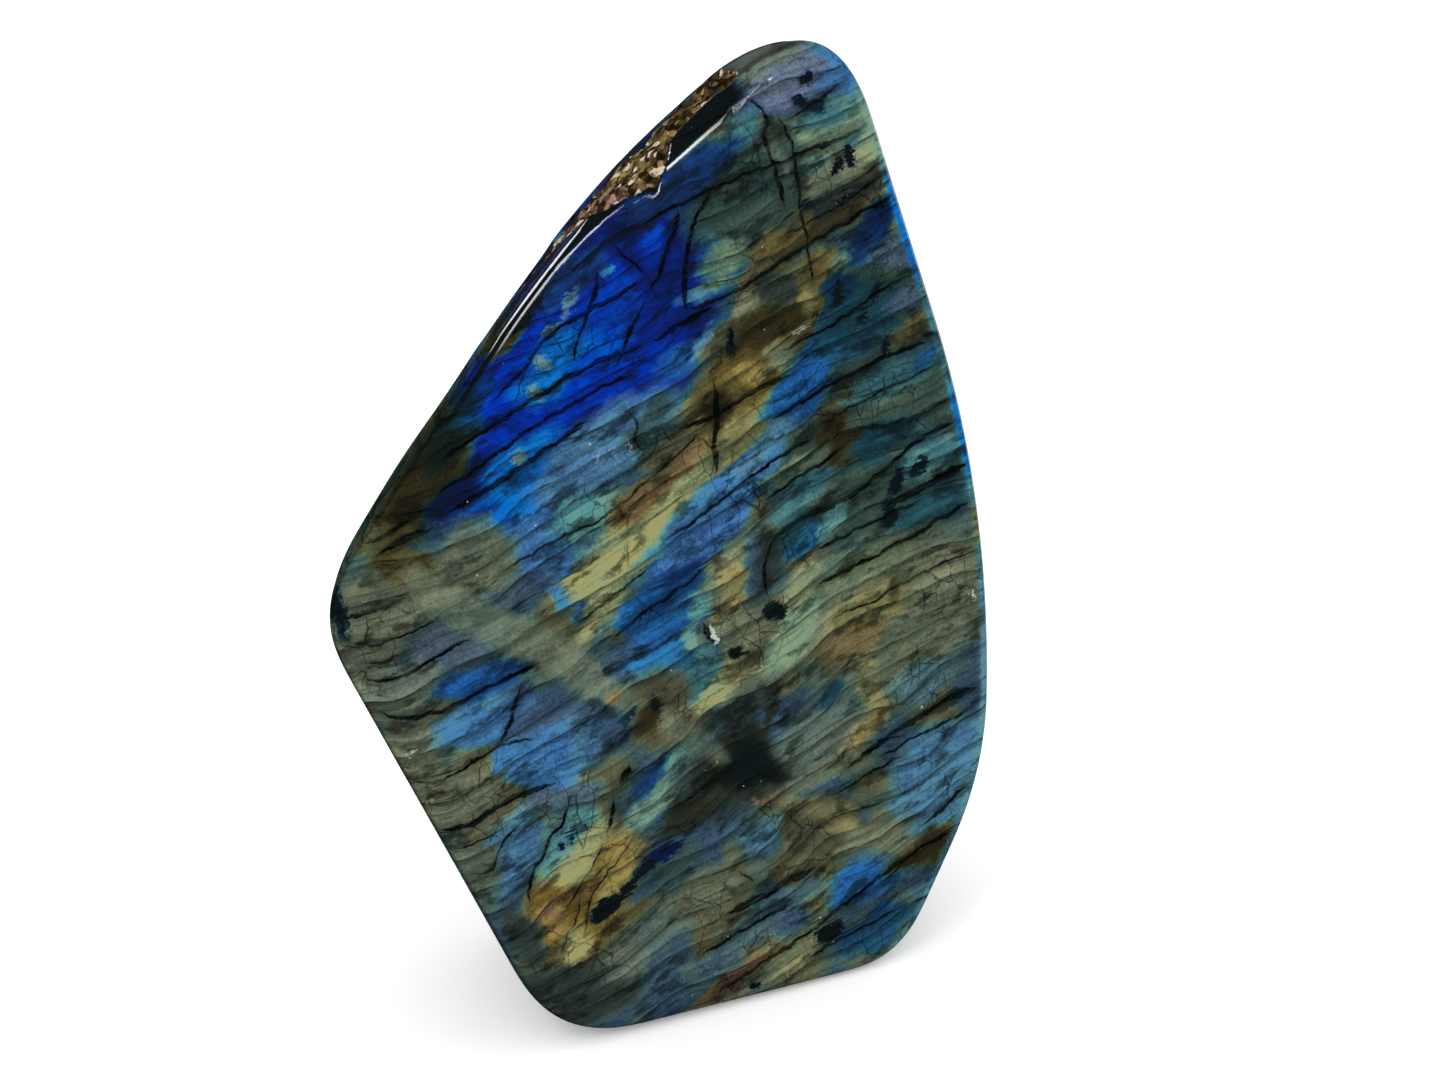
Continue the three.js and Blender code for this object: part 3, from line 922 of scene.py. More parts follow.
def pick(piece, wanted):
    """Selects the vertices whose place is wanted, and what lies between them, in edit mode"""
    only(piece)
    mesh = piece.data
    for vertex in mesh.vertices:
        vertex.select = wanted(vertex.co)
    for part in (*mesh.edges, *mesh.polygons):
        part.select = all(mesh.vertices[index].select for index in part.vertices)
    bpy.ops.object.mode_set(mode="EDIT")
    bpy.ops.mesh.select_mode(type="VERT")


def facet_directions():
    """The face's outward direction, the facet's lower edge, across the edge up the face, and the facet's
    outward direction"""
    face_out = Vector((0, -1, FACE_LEAN)).normalized()
    along = (on_face(*FACET_END) - on_face(*FACET_START)).normalized()
    up = face_out.cross(along)
    return face_out, along, up, face_out * math.cos(FACET_LEAN) + up * math.sin(FACET_LEAN)


def ground_facet(piece):
    """Grinds a facet: cuts the skin along its plane, flattens what stands in front of it, and cuts the
    skin again on both sides of the edge, so that smoothing rounds only a narrow strip"""
    start = on_face(*FACET_START)
    face_out, along, up, out = facet_directions()

    def cut(place, normal):
        pick(piece, lambda point: (point - start).dot(out) > -FACET_REACH * MM)
        bpy.ops.mesh.bisect(plane_co=place, plane_no=normal)
        bpy.ops.mesh.select_more()
        bpy.ops.mesh.remove_doubles(threshold=FACET_MERGE * MM)
        bpy.ops.object.mode_set(mode="OBJECT")

    cut(start, out)
    pick(piece, lambda point: (point - start).dot(out) > 0)
    turn = Matrix((along, out.cross(along), out)).transposed()
    bpy.ops.transform.resize(
        value=(1, 1, 0), orient_type="GLOBAL", orient_matrix=turn, orient_matrix_type="GLOBAL",
        constraint_axis=(False, False, True), center_override=start)
    bpy.ops.object.mode_set(mode="OBJECT")
    cut(start - out * FACET_EDGE * MM, out)
    cut(start - face_out * FACE_EDGE * MM, face_out)


# The stone's finish
# The first two numbers of a mask are the values of what it is made from between which it changes. It
# goes from 0 to 1 there, or from one to the other of the two numbers that follow.

SHEET_RISE = 0.36        # the cleavage sheets rise by this for each mm to the right
SHEET_BEND = 4.4e-5      # and level off by this times the third power of that
SHEET_FALL = 0.25        # they fall by this for each mm towards the back
SHEET_DRIFT = 5.0        # mm by which they rise and fall at random
DRIFT_SIZE = 16          # mm from one such rise to the next
WOBBLE_SIZE = 4          # sheets from one wobble in their thickness to the next

# Thick and thin sheets: thickness as a share of the usual spacing, wobble, and a seed
THICK_SHEETS = (1.9, 0.9, 3.7)
THIN_SHEETS = (0.7, 1.0, 11.3)

# Noise drawn out along the sheets: length and thickness of its streaks in mm, and detail
FIBRES = (5.0, 0.35, 3.0)
SMOKE = (4.4, 2.0, 4.0)

# Even noise: waves to a mm, detail and roughness
GRAIN = (2.6, 3.0, 0.75)
MOTTLE = (0.4, 3.0, 0.6)
PATCH = (0.11, 2.0)
RUFFLE = (0.8, 4.0, 0.7)

# Random shifts of a place: mm from one shift to the next, the amount in mm, and detail
TEAR = (2.2, 2.0, 3.0)
SWAY = (7.0, 3.6, 1.0)
NOISE_ROUGHNESS = 0.6    # of shifts and streaks
CRISP_TEAR = 0.7         # the share of the tear at cracks and at the right rim
FRAY = 2.4               # mm by which grain and fibres fray the edge of a blotch

# A flash jumps from sheet to sheet: the direction, and the amounts in mm for thick and thin sheets
JUMP = (0.94, 0.0, 0.34)
THICK_JUMP = 2.4
THIN_JUMP = 1.2

FACET_FOOT = (77.0, 83.0)          # a mask over z


class Sheets:
    """The cleavage of the feldspar: sheets that rise to the right and level off at both sides"""

    def __init__(self, nodes, place, x, y, z):
        self.nodes = nodes
        self.place = place
        bend = nodes.times(nodes.math("POWER", nodes.math("ABSOLUTE", x), 3.0), SHEET_BEND)
        rise = nodes.math(
            "SUBTRACT", nodes.times(x, SHEET_RISE), nodes.times(bend, nodes.math("SIGN", x)))
        drift = nodes.times(nodes.noise(place, 1 / DRIFT_SIZE, 1.0), SHEET_DRIFT)
        self.level = nodes.add(nodes.math("SUBTRACT", z, rise), nodes.times(y, SHEET_FALL), drift)
        self.along = nodes.join(x, y, self.level)

    def split(self, spacing, share, wobble, seed):
        """For sheets of a thickness: a random value for each, the distance to its edge in mm, and how
        far above the middle of its sheet a place lies"""
        nodes = self.nodes
        thickness = spacing * share
        shake = nodes.times(nodes.noise(self.place, 1 / (thickness * WOBBLE_SIZE), 2.0), wobble)
        level = nodes.add(nodes.times(self.level, 1 / thickness), shake, seed)
        cell = nodes.put(
            "ShaderNodeTexVoronoi", {"W": level, "Scale": 1.0}, "Color", voronoi_dimensions="1D")
        edge = nodes.put(
            "ShaderNodeTexVoronoi", {"W": level, "Scale": 1.0}, "Distance",
            voronoi_dimensions="1D", feature="DISTANCE_TO_EDGE")
        above = nodes.math("SUBTRACT", level, cell.node.outputs["W"])
        return nodes.parts(cell)[0], nodes.times(edge, thickness), above

    def fibres(self, length, thickness, detail):
        """Noise drawn out along the sheets"""
        fine = self.nodes.stretched(self.along, (1 / length, 1 / length, 1 / thickness))
        return self.nodes.noise(fine, 1.0, detail, NOISE_ROUGHNESS)


def waver(nodes, place, size, amount, detail):
    """A random shift in the plane of the face"""
    shake = nodes.noise(place, 1 / size, detail, NOISE_ROUGHNESS, "Color")
    shift = nodes.vector("SUBTRACT", shake, (0.5, 0.5, 0.5))
    return nodes.vector("MULTIPLY", shift, (amount, 0.0, amount))


class Skin:
    """What the finish is worked out from at each point of the skin: its place in mm, the way that it
    faces, the sheets, noise, and the shifted places on the face from which the markings are read"""

    def __init__(self, nodes, spacing):
        self.nodes = nodes
        coordinates = nodes.put("ShaderNodeTexCoord", out="Object")
        self.outwards = coordinates.node.outputs["Normal"]
        self.outwards_x, self.outwards_y, _ = nodes.parts(self.outwards)
        self.place = nodes.scaled(coordinates, 1 / MM)
        self.x, self.y, self.z = nodes.parts(self.place)
        flat = nodes.join(self.x, 0.0, self.z)
        self.behind_face = nodes.add(self.y, nodes.times(self.z, -FACE_LEAN), -GROUND_FRONT)

        self.sheets = Sheets(nodes, self.place, self.x, self.y, self.z)
        self.thick, self.thick_edge, self.thick_above = self.sheets.split(spacing, *THICK_SHEETS)
        self.thin, self.thin_edge, self.thin_above = self.sheets.split(spacing, *THIN_SHEETS)
        self.fibre = self.sheets.fibres(*FIBRES)
        self.grain = nodes.noise(self.place, *GRAIN)
        self.mottle = nodes.noise(self.place, *MOTTLE)
        self.patch = nodes.noise(self.place, *PATCH)

        # Torn places break off at the sheets, crisp ones hardly waver, and ragged ones are frayed
        jump = nodes.add(nodes.swing(self.thick, THICK_JUMP), nodes.swing(self.thin, THIN_JUMP))
        self.tear = waver(nodes, self.place, *TEAR)
        shift = nodes.vector("ADD", nodes.scaled(JUMP, jump), waver(nodes, self.place, *SWAY))
        self.torn = Face(nodes, nodes.vector("ADD", nodes.vector("ADD", flat, shift), self.tear))
        self.crisp = Face(nodes, nodes.vector("ADD", flat, nodes.scaled(self.tear, CRISP_TEAR)))
        frayed = nodes.join(nodes.swing(self.grain, FRAY), 0.0, nodes.swing(self.fibre, FRAY))
        self.ragged = Face(nodes, nodes.vector("ADD", nodes.vector("ADD", flat, self.tear), frayed))

    def towards_facet(self):
        """How squarely the skin faces the way that the ground facet does, up to 1"""
        *_, facet_out = facet_directions()
        return self.nodes.vector("DOT_PRODUCT", self.outwards, facet_out, out="Value")

    def along_facet(self, end, full):
        """A mask of the stretch that the facet runs along: nothing right of one x, all left of another"""
        return self.nodes.times(self.nodes.step(self.x, end, full), self.nodes.step(self.z, *FACET_FOOT))

    def swings(self, amounts):
        """Swings of the sheets and the noise, by name and amount"""
        return [self.nodes.swing(getattr(self, name), amount) for name, amount in amounts.items()]


# Masks of the areas of the skin
UNPAINTED_HUES = (0.4, 0.6, 0.3, 0.66)       # over patches: a place on the play of colour
UNPAINTED_STRENGTH = 0.62
UNPAINTED_MILK = 0.5
VEIN_EDGE = (-0.8, 1.0, 0.0, 0.85)           # over the depth in the vein
VEIN_FAINTER = (-14.0, -4.0, 1.0, 0.75)      # over x
FACES_RIGHT = (0.05, 0.25)
RIM_FRONT = (5.0, 2.0)                       # over the distance behind the face
FACES_BACK = (0.2, 0.5)
# Where the ground facet is painted near black, a painted dark reflection
ON_FACET = (0.93, 0.975)
FACET_END_DARK_REFLECTION = (16.0, 13.5)                # over x


def painted_flash(skin):
    """Hue, strength and milkiness as one vector, and the masks of the vein and the right rim. The right
    rim's flashes are painted bright as a painted highlight, and the ground facet is painted near black as a
    painted dark reflection
    """
    nodes = skin.nodes
    unpainted = nodes.join(nodes.step(skin.patch, *UNPAINTED_HUES), UNPAINTED_STRENGTH, UNPAINTED_MILK)
    flash = unpainted
    for area, rows in FLASHES.items():
        flash = skin.torn.flashes(flash, area, rows)
    vein = nodes.times(
        nodes.step(skin.crisp.cracks("vein", VEIN), *VEIN_EDGE), nodes.step(skin.x, *VEIN_FAINTER))
    flash = nodes.blend(vein, flash, KINDS["vein"])
    flash = skin.ragged.flashes(flash, "blotches", BLOTCHES)
    # The right rim: its flashes are painted bright, a painted highlight along the rim
    rim = nodes.times(nodes.step(skin.outwards_x, *FACES_RIGHT), nodes.step(skin.behind_face, *RIM_FRONT))
    flash = nodes.blend(rim, flash, skin.crisp.flashes(KINDS["teal"], "right rim", RIM_FLASHES_AND_HIGHLIGHT))
    back_flash = skin.torn.flashes(unpainted, "back", BACK_FLASHES)
    flash = nodes.blend(nodes.step(skin.outwards_y, *FACES_BACK), flash, back_flash)
    # The ground facet is painted near black: a painted dark reflection
    facet = nodes.times(nodes.step(skin.towards_facet(), *ON_FACET), skin.along_facet(*FACET_END_DARK_REFLECTION))
    return nodes.blend(facet, flash, KINDS["jet"]), vein, rim


# How much the sheets and the noise swing the light, and masks of shades over mm from an edge
LIGHT_SWINGS = {"thick": 0.2, "thin": 0.2, "fibre": 0.4, "grain": 0.8, "mottle": 0.6}
BESIDE_CRACK = (-SHADE_REACH * 0.9, 0.3, 0.0, 0.26)
UNDER_THICK = (1.5, 0.0, 0.0, 0.3)
UNDER_THIN = (0.6, 0.0, 0.0, 0.16)
UPPER_HALF = (-0.1, 0.05)                    # over the height above the middle of a sheet
SMUDGE = (0.5, 0.64, 0.0, 0.5)               # over smoke
SMUDGE_CLOUDS = (0.3, 0.55, 0.35, 1.0)       # over the mottle


def varied_light(skin, depth, clear):
    """A factor for the strength: it varies with sheets, fibres and grain, and is lower beside a crack,
    under the upper edge of a sheet and in a smoky smudge"""
    nodes = skin.nodes
    beside_crack = nodes.step(depth, *BESIDE_CRACK)
    under_thick = nodes.times(
        nodes.step(skin.thick_edge, *UNDER_THICK), nodes.step(skin.thick_above, *UPPER_HALF))
    under_thin = nodes.times(
        nodes.step(skin.thin_edge, *UNDER_THIN), nodes.step(skin.thin_above, *UPPER_HALF))
    shades = nodes.most(beside_crack, under_thick, under_thin)
    light = nodes.add(1.0, *skin.swings(LIGHT_SWINGS))
    smoke = skin.sheets.fibres(*SMOKE)
    smudge = nodes.times(nodes.step(smoke, *SMUDGE), nodes.step(skin.mottle, *SMUDGE_CLOUDS))
    return nodes.times(
        light, nodes.math("SUBTRACT", 1.0, nodes.times(shades, clear)),
        nodes.math("SUBTRACT", 1.0, nodes.times(smudge, clear)))


# Masks of dark lines, over mm from an edge, and where they lie, over the noise
CRACK_EDGE = (-0.06, 0.14)
CRACK_FAINTER = (0.3, 0.6, 0.5, 1.0)
THICK_LINE = (0.2, 0.03, 0.0, 0.8)
THIN_LINE = (0.12, 0.02, 0.0, 0.5)
THIN_LINE_PATCHES = (0.44, 0.56)
UNBROKEN = (0.42, 0.6)
BREAKING_GRAIN = 0.3     # how much the grain swings that
HAIR_CRACK = (0.035, 0.005, 0.0, 0.7)
HAIR_CRACK_PATCHES = (0.5, 0.62)
HAIR_CRACK_CELLS = (0.42, 0.3, 0.24)         # cells of their net to a mm, sideways, backwards and up
HAIR_CRACK_TEAR = 0.3


def dark_lines(skin, depth):
    """Listed cracks, broken cleavage lines and a net of hair cracks across them"""
    nodes = skin.nodes
    unbroken = nodes.step(nodes.add(skin.mottle, nodes.swing(skin.grain, BREAKING_GRAIN)), *UNBROKEN)
    thick_line = nodes.times(nodes.step(skin.thick_edge, *THICK_LINE), unbroken)
    thin_line = nodes.times(
        nodes.step(skin.thin_edge, *THIN_LINE), unbroken, nodes.step(skin.patch, *THIN_LINE_PATCHES))
    crossing = nodes.vector(
        "ADD", nodes.stretched(skin.place, HAIR_CRACK_CELLS), nodes.scaled(skin.tear, HAIR_CRACK_TEAR))
    net = nodes.cells(crossing, 1.0, feature="DISTANCE_TO_EDGE")
    hair_crack = nodes.times(nodes.step(net, *HAIR_CRACK), nodes.step(skin.patch, *HAIR_CRACK_PATCHES))
    crack = nodes.times(nodes.step(depth, *CRACK_EDGE), nodes.step(skin.fibre, *CRACK_FAINTER))
    return nodes.most(crack, thick_line, thin_line, hair_crack)


def play_of_colour(nodes, hue):
    """The colour of a place on the play of colour"""
    play = nodes.put("ShaderNodeValToRGB", {"Fac": hue})
    ramp = play.node.color_ramp
    for position, _ in PLAY_OF_COLOUR[1:-1]:
        ramp.elements.new(position)
    for element, (position, shade) in zip(ramp.elements, PLAY_OF_COLOUR):
        element.position = position
        element.color = linear(shade)
    return play


# Specks, chips and painted glints. A cell of the specks' pattern has one if its random value is high
# enough.
PALE_SPOT_AND_GLINT = (0.72, 0.76, 0.74)
SPECK_CELLS = 1.3        # to a mm
SPECK_SIZES = (0.8, 1.0, 0.0, 0.3)           # a mask over the cell's value
SPECK_CLOUDS = (0.5, 0.7)                    # one over the mottle
SPECK_EDGE = (0.0, 0.08, 0.0, 0.55)          # and one over the distance inwards from a speck's edge
FACES_FRONT = (-0.1, -0.4)


def specks(skin):
    """White specks, in clouds"""
    nodes = skin.nodes
    distance = nodes.cells(skin.place, SPECK_CELLS)
    value = nodes.parts(nodes.cells(skin.place, SPECK_CELLS, "Color"))[0]
    reach = nodes.times(nodes.step(value, *SPECK_SIZES), nodes.step(skin.mottle, *SPECK_CLOUDS))
    return nodes.step(nodes.math("SUBTRACT", reach, distance), *SPECK_EDGE)


def chips_and_glints(skin):
    """Pale chips and painted glints on the front, whose one value is their milkiness"""
    nodes = skin.nodes
    flash = skin.ragged.flashes((0, 0, 0), "chips_and_glints", CHIPS_AND_GLINTS)
    milk = nodes.vector("DOT_PRODUCT", flash, (0, 0, 1), out="Value")
    return nodes.times(milk, nodes.step(skin.outwards_y, *FACES_FRONT))


HUE_SWINGS = {"fibre": 0.12, "thick": 0.04, "mottle": 0.12}
LEFT_BY_VEIN = (0.0, 1.0, 1.0, 0.3)          # a mask over the vein: how much of lines and shades is left
SCREEN_GAMMA = 2.2       # turns a strength as it looks on a screen into what a shader takes
MILK_GRAIN = 1.2         # how much the grain swings the milkiness
# Painted shade: flashes dimmer where the skin faces sideways, on the walls
WALL_SHADE = (0.2, 0.7, 0.4, 1.0)             # a mask over how squarely the skin faces the front or the back


def polished_paint(skin, settings):
    """The colour of the polished skin"""
    nodes = skin.nodes
    flash, vein, rim = painted_flash(skin)
    hue, strength, milk = nodes.parts(flash)
    hue = nodes.add(hue, *skin.swings(HUE_SWINGS))
    depth = skin.crisp.cracks("cracks", CRACKS)
    clear = nodes.step(vein, *LEFT_BY_VEIN)
    strength = nodes.times(strength, varied_light(skin, depth, clear))
    strength = nodes.math("POWER", strength, SCREEN_GAMMA)
    dark = nodes.times(dark_lines(skin, depth), clear)
    play = play_of_colour(nodes, hue)
    milk = nodes.times(milk, nodes.add(1.0, nodes.swing(skin.grain, MILK_GRAIN)))
    shine = nodes.mix(milk, play, linear(settings.milk_colour))
    # Flashes are painted dim on the walls as painted shade, but the right rim keeps them bright as a
    # painted highlight
    wall_shade_and_rim_highlight = nodes.most(nodes.step(nodes.math("ABSOLUTE", skin.outwards_y), *WALL_SHADE), rim)
    paint = nodes.mix(nodes.times(strength, wall_shade_and_rim_highlight), linear(settings.body_colour), shine)
    paint = nodes.mix(dark, paint, linear(settings.crack_colour))
    return nodes.mix(nodes.most(specks(skin), chips_and_glints(skin)), paint, linear(PALE_SPOT_AND_GLINT))


# The rind: its colours, where they lie, and how far random values swing that. Its crystals are painted lit
# or shaded at random, and its hollows are painted shade
RIND_SHADED = (0.16, 0.12, 0.05)
RIND_ROSY = (0.6, 0.47, 0.4)
RIND_WHITE = (0.82, 0.76, 0.68)
RIND_HOLLOW_SHADE = (0.07, 0.06, 0.04)
RIND_LIT = (0.3, 0.7)                        # over ruffles
LIT_SWING = 0.5
ROSY_PART = (3.0, -1.0)                      # over x
ROSY_SWING = 6.0
WHITE_CRYSTALS = (0.82, 0.88)                # over a crystal's random value
HOLLOWS = (0.5, 0.6, 0.0, 0.85)              # over the mottle
MORE_HOLLOWS = (4.0, 12.0, 0.0, 0.08)        # over x: added to the mottle


def rind_paint(skin, ruffle, crystal_value, golden):
    """The colour of the rind: golden, rosy towards the left, its crystals painted lit or shaded, with white
    crystals and painted shade in dark hollows
    """
    nodes = skin.nodes
    lit = nodes.step(nodes.add(ruffle, nodes.swing(crystal_value, LIT_SWING)), *RIND_LIT)
    leftwards = nodes.step(nodes.add(skin.x, nodes.swing(ruffle, ROSY_SWING)), *ROSY_PART)
    crystals = nodes.mix(leftwards, linear(golden), linear(RIND_ROSY))
    # Crystals painted lit or shaded at random: painted light and shade
    paint = nodes.mix(lit, linear(RIND_SHADED), crystals)
    paint = nodes.mix(nodes.step(crystal_value, *WHITE_CRYSTALS), paint, linear(RIND_WHITE))
    # Painted shade in the rind's hollows
    hollow = nodes.add(skin.mottle, nodes.step(skin.x, *MORE_HOLLOWS))
    return nodes.mix(nodes.step(hollow, *HOLLOWS), paint, linear(RIND_HOLLOW_SHADE))


# Where the polish is duller
UNPOLISHED = (0.0, 0.15)                     # over the rind's share
FACES_LEFT = (-0.02, -0.1)
DULL_BELOW = (88.0, 85.0)                    # over z
DULL_OVER = (94.0, 96.0)                     # over the height above a slanting line
DULL_SLANT = -0.9
ON_FACET_EDGE = (0.885, 0.9)
FACET_END_WORN = (18.0, 16.0)                # over x
WORN_GRAIN = (0.35, 0.6, 1.0, 0.75)          # over grain
RIGHT_LINE = ((2.0, 4.0), (14.0, 6.0))       # over x: where a white line starts and ends
LEFT_LINE = ((-1.0, -5.0), (-22.0, -14.0, 0.0, 0.6))
WORN_BEHIND = (5.0, 9.0, 0.0, 0.75)          # over the distance behind the face
WORN_ABOVE = (78.0, 90.0)                    # over z


def polish(skin, rind_mark, rind):
    """How much polish lies on the skin: none on the rind and on the wall just below it, and less on the
    top wall and along the facet's edge, but for two stretches where a white line shows"""
    nodes = skin.nodes
    over_line = nodes.add(skin.z, nodes.times(skin.x, DULL_SLANT))
    dull = nodes.times(
        nodes.step(skin.outwards_x, *FACES_LEFT), nodes.step(skin.z, *DULL_BELOW),
        nodes.step(over_line, *DULL_OVER))
    lines = [
        nodes.times(nodes.step(skin.x, *start), nodes.step(skin.x, *end))
        for start, end in (RIGHT_LINE, LEFT_LINE)]
    worn_edge = nodes.times(
        nodes.step(skin.towards_facet(), *ON_FACET_EDGE), skin.along_facet(*FACET_END_WORN),
        nodes.step(skin.grain, *WORN_GRAIN), nodes.math("SUBTRACT", 1.0, nodes.most(*lines)))
    worn_top = nodes.times(
        nodes.step(skin.behind_face, *WORN_BEHIND), nodes.step(skin.z, *WORN_ABOVE))
    unpolished = nodes.step(rind_mark, *UNPOLISHED)
    return nodes.math("SUBTRACT", 1.0, nodes.most(unpolished, rind, dull, worn_edge, worn_top))


# The shader
RIND_SHOWS = (0.35, 0.55)                    # a mask over the rind's share, swung by ruffles
RIND_RAGGED = 1.0
CRYSTAL_CELLS = 1.1      # crystals of the rind to a mm
CRYSTAL_DENT = 0.4       # mm by which their shading dents the rind
CRYSTAL_BUMP = 0.9       # strength of that shading
DENTED = (0.2, 0.6)                          # a mask over the rind's share
BODY_ROUGHNESS = 0.42    # under the polish
RIND_ROUGHNESS = 0.62
POLISH_IOR = 1.5


def stone_finish(settings):
    """The stone's one material: the polished skin and the rough rind"""
    material = bpy.data.materials.new("polished labradorite")
    nodes = empty_nodes(material)
    skin = Skin(nodes, settings.line_spacing / MM)
    paint = polished_paint(skin, settings)

    rind_mark = nodes.put("ShaderNodeAttribute", out="Fac", attribute_name="rind")
    ruffle = nodes.noise(skin.place, *RUFFLE)
    rind = nodes.step(nodes.add(rind_mark, nodes.swing(ruffle, RIND_RAGGED)), *RIND_SHOWS)
    crystal = nodes.cells(skin.place, CRYSTAL_CELLS)
    crystal_value = nodes.parts(nodes.cells(skin.place, CRYSTAL_CELLS, "Color"))[1]
    paint = nodes.mix(rind, paint, rind_paint(skin, ruffle, crystal_value, settings.rind_colour))
    height = nodes.times(crystal, nodes.step(rind_mark, *DENTED))
    bump = nodes.put(
        "ShaderNodeBump", {"Strength": CRYSTAL_BUMP, "Distance": CRYSTAL_DENT * MM, "Height": height})

    shader = nodes.put(
        "ShaderNodeBsdfPrincipled",
        {"Base Color": paint, "Roughness": nodes.step(rind, 0.0, 1.0, BODY_ROUGHNESS, RIND_ROUGHNESS),
         "Normal": bump, "Coat Weight": polish(skin, rind_mark, rind),
         "Coat Roughness": settings.gloss, "Coat IOR": POLISH_IOR, "Specular IOR Level": 0.0})
    nodes.show("ShaderNodeOutputMaterial", shader)
    return material


class LABRADORITE_OT_stone(bpy.types.Operator):
    """Models the stone on its solid and gives it its finish"""
    bl_idname = "labradorite.make_stone"
    bl_label = "Make the stone"

    def execute(self, context):
        settings = context.scene.labradorite_stone
        piece = copy_of_node(STONE, "polished_stone")
        ground_facet(piece)
        smoothed(piece, settings.levels)
        mark_rind(piece)
        roughened(piece, "VORONOI", CRYSTAL_SIZE * MM, settings.rind_relief)
        roughened(piece, "CLOUDS", CRUMB_SIZE * MM, settings.rind_relief / 2)
        only(piece)
        bpy.ops.object.shade_smooth()
        piece.data.materials.clear()
        piece.data.materials.append(stone_finish(settings))
        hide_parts(STONE)
        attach(piece, "root")
        return {"FINISHED"}


# The studio

CAMERA_TARGET = Vector((11.7, -1.5, 52.8)) * MM
CAMERA_DISTANCE = 427 * MM
CAMERA_AZIMUTH = math.radians(-24)
CAMERA_ELEVATION = math.radians(24)
CAMERA_ROLL = math.radians(2.4)
CAMERA_LENS = 88
CAMERA_SENSOR = 36

LIGHTS_AIM = Vector((0, 0, 55)) * MM
LIGHTS_DISTANCE = 0.7

# Soft boxes: azimuth, elevation, width and height. The two gleams show in the polish alone, each with a
# share of their power.
KEY_BOX = (-50, 44, 0.14, 0.22)
GLEAMS = {
    "front gleam": ((13, 9, 0.26, 0.08), 0.15),
    "left gleam": ((-44, 52, 0.34, 0.3), 1.0),
}

# The part of the floor that is white in reflections: how far behind the stone and how far to the right
# of a slanting line it sets in
WHITE_BEHIND = (0.0, 0.02)
WHITE_RIGHT = (0.026, 0.034)
WHITE_SLANT = -0.45

# The surroundings: their light, how bright they are in reflections, as a mask over the direction from
# front to back, and the colour of the floor's dark part
ROOM_LIGHT = 1.1
REFLECTED = (0.3, 1.0, 0.02, 0.16)
CARD_COLOUR = (0.01, 0.01, 0.01)


def direction(azimuth, elevation):
    """From the stone towards a place in the studio: azimuth 0 is the front, positive to the right"""
    return Vector((
        math.sin(azimuth) * math.cos(elevation),
        -math.cos(azimuth) * math.cos(elevation),
        math.sin(elevation)))


def add_camera():
    """The camera at the photograph's viewing angle"""
    back = direction(CAMERA_AZIMUTH, CAMERA_ELEVATION)
    level = Vector((0, 0, 1)).cross(back).normalized()
    upright = back.cross(level)
    right = level * math.cos(CAMERA_ROLL) - upright * math.sin(CAMERA_ROLL)
    top = back.cross(right)
    place = CAMERA_TARGET + back * CAMERA_DISTANCE
    bpy.ops.object.camera_add()
    camera = bpy.context.object
    camera.name = "camera"
    camera.matrix_world = Matrix((right, top, back)).transposed().to_4x4()
    camera.location = place
    camera.data.lens = CAMERA_LENS
    camera.data.sensor_width = CAMERA_SENSOR
    camera.data.clip_start = 0.01
    bpy.context.scene.camera = camera


def add_soft_box(name, azimuth, elevation, width, height, power):
    """A rectangular light that points at the middle of the stone"""
    towards = direction(math.radians(azimuth), math.radians(elevation))
    bpy.ops.object.light_add(type="AREA", location=LIGHTS_AIM + towards * LIGHTS_DISTANCE)
    light = bpy.context.object
    light.name = name
    light.rotation_euler = towards.to_track_quat("Z", "Y").to_euler()
    light.data.shape = "RECTANGLE"
    light.data.size = width
    light.data.size_y = height
    light.data.energy = power
    return light


def add_floor(settings):
    """The pale floor. In reflections it is a dark card, but for a white part behind the right rim."""
    bpy.ops.mesh.primitive_plane_add(size=settings.floor_size)
    floor = bpy.context.object
    floor.name = "floor"
    material = bpy.data.materials.new("floor")
    nodes = empty_nodes(material)
    rays = nodes.put("ShaderNodeLightPath", out="Is Camera Ray").node.outputs
    x, y, _ = nodes.parts(nodes.put("ShaderNodeTexCoord", out="Object"))
    rightwards = nodes.add(x, nodes.times(y, WHITE_SLANT))
    behind_right = nodes.times(nodes.step(y, *WHITE_BEHIND), nodes.step(rightwards, *WHITE_RIGHT))
    card = nodes.times(rays["Is Glossy Ray"], nodes.math("SUBTRACT", 1.0, behind_right))
    shade = nodes.mix(card, (*settings.floor_colour, 1.0), (*CARD_COLOUR, 1.0))
    soft = nodes.put("ShaderNodeBsdfDiffuse", {"Color": shade})
    lift = nodes.put(
        "ShaderNodeEmission", {"Strength": nodes.times(rays["Is Camera Ray"], settings.floor_lift)})
    nodes.show("ShaderNodeOutputMaterial", nodes.put("ShaderNodeAddShader", {0: soft, 1: lift}))
    floor.data.materials.append(material)


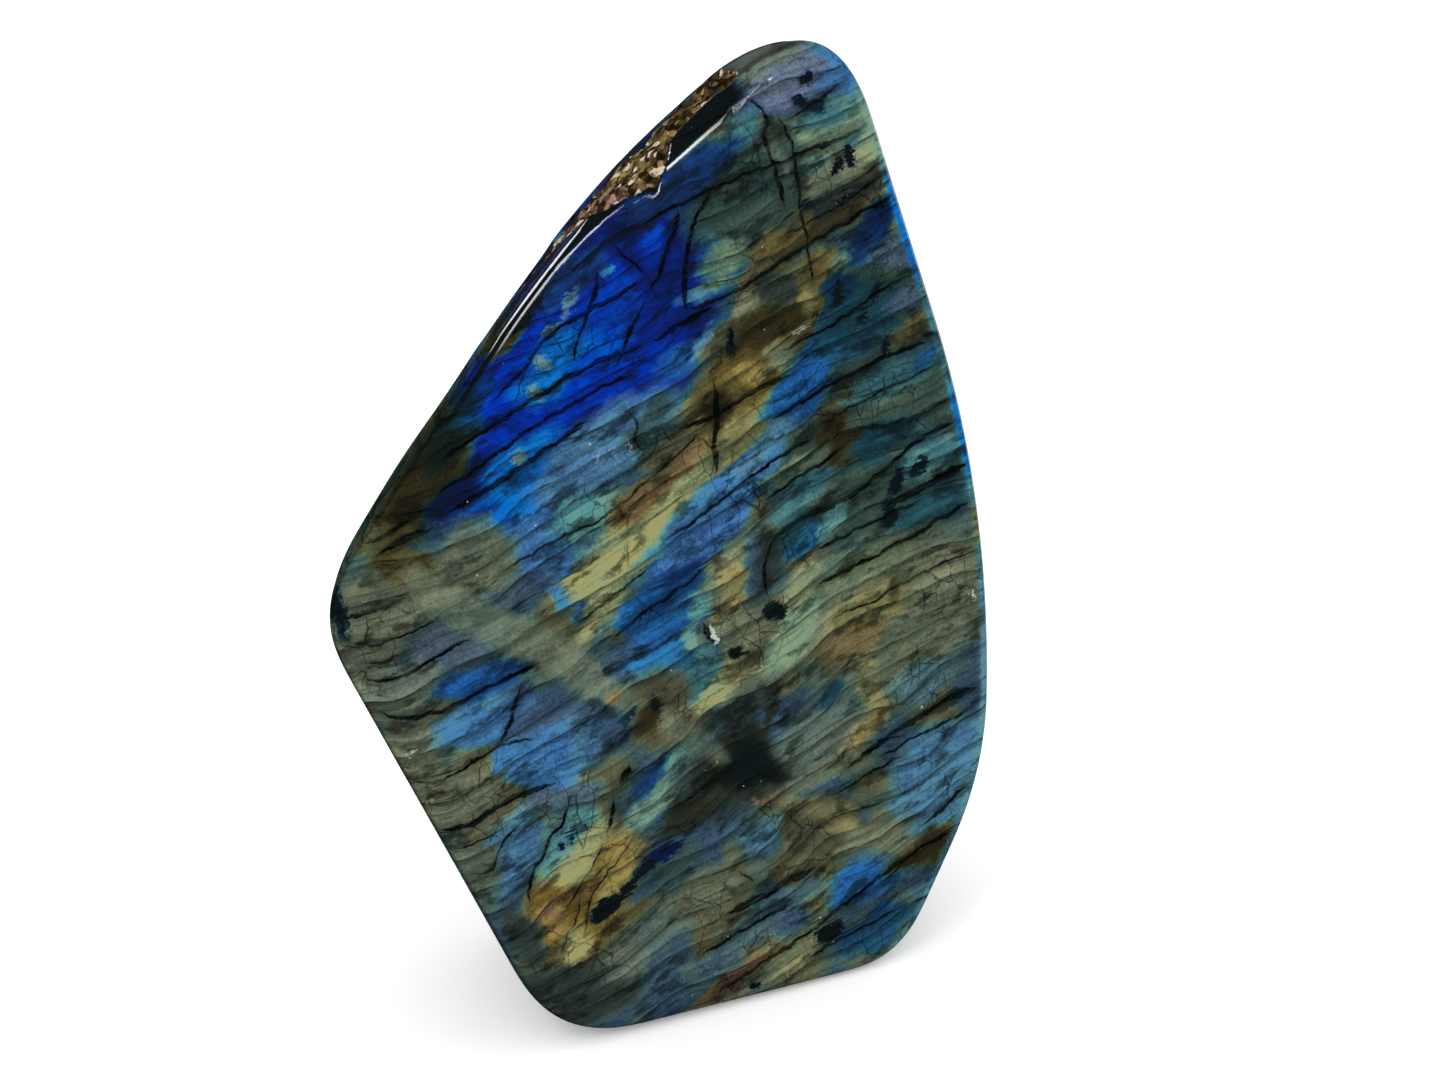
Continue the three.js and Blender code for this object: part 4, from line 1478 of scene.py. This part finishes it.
def add_surroundings():
    """White all round for the camera and for soft light, and dark in reflections"""
    world = bpy.data.worlds.new("studio")
    bpy.context.scene.world = world
    nodes = empty_nodes(world)
    glossy = nodes.put("ShaderNodeLightPath", out="Is Glossy Ray")
    towards = nodes.put("ShaderNodeTexCoord", out="Generated")
    reflected = nodes.step(nodes.parts(towards)[1], *REFLECTED)
    strength = nodes.put("ShaderNodeMix", {0: glossy, 2: ROOM_LIGHT, 3: reflected}, data_type="FLOAT")
    shader = nodes.put("ShaderNodeBackground", {"Color": (1, 1, 1, 1), "Strength": strength})
    nodes.show("ShaderNodeOutputWorld", shader)


class LABRADORITE_OT_studio(bpy.types.Operator):
    """Sets up the floor, the lights and the camera"""
    bl_idname = "labradorite.set_studio"
    bl_label = "Set up the studio"

    def execute(self, context):
        settings = context.scene.labradorite_studio
        add_camera()
        add_floor(settings)
        add_surroundings()
        add_soft_box("key", *KEY_BOX, settings.key_power)
        for name, (box, share) in GLEAMS.items():
            gleam = add_soft_box(name, *box, settings.gleam * share)
            gleam.visible_diffuse = False
        context.scene.view_settings.view_transform = "Standard"
        return {"FINISHED"}


class LABRADORITE_PT_panel(bpy.types.Panel):
    """Lists the pieces and their settings"""
    bl_label = "Labradorite"
    bl_idname = "LABRADORITE_PT_panel"
    bl_space_type = "VIEW_3D"
    bl_region_type = "UI"
    bl_category = "Labradorite"

    def draw(self, context):
        for operator, settings in (
                (LABRADORITE_OT_stone, context.scene.labradorite_stone),
                (LABRADORITE_OT_studio, context.scene.labradorite_studio)):
            box = self.layout.box()
            for name in settings.bl_rna.properties.keys():
                if name not in ("rna_type", "name"):
                    box.prop(settings, name)
            box.operator(operator.bl_idname)


CLASSES = (StoneSettings, StudioSettings, LABRADORITE_OT_stone, LABRADORITE_OT_studio,
           LABRADORITE_PT_panel)


def register():
    for kind in CLASSES:
        bpy.utils.register_class(kind)
    bpy.types.Scene.labradorite_stone = PointerProperty(type=StoneSettings)
    bpy.types.Scene.labradorite_studio = PointerProperty(type=StudioSettings)


def unregister():
    del bpy.types.Scene.labradorite_studio
    del bpy.types.Scene.labradorite_stone
    for kind in reversed(CLASSES):
        bpy.utils.unregister_class(kind)


def main():
    register()
    bpy.ops.labradorite.make_stone()
    bpy.ops.labradorite.set_studio()


if __name__ == "__main__":
    main()
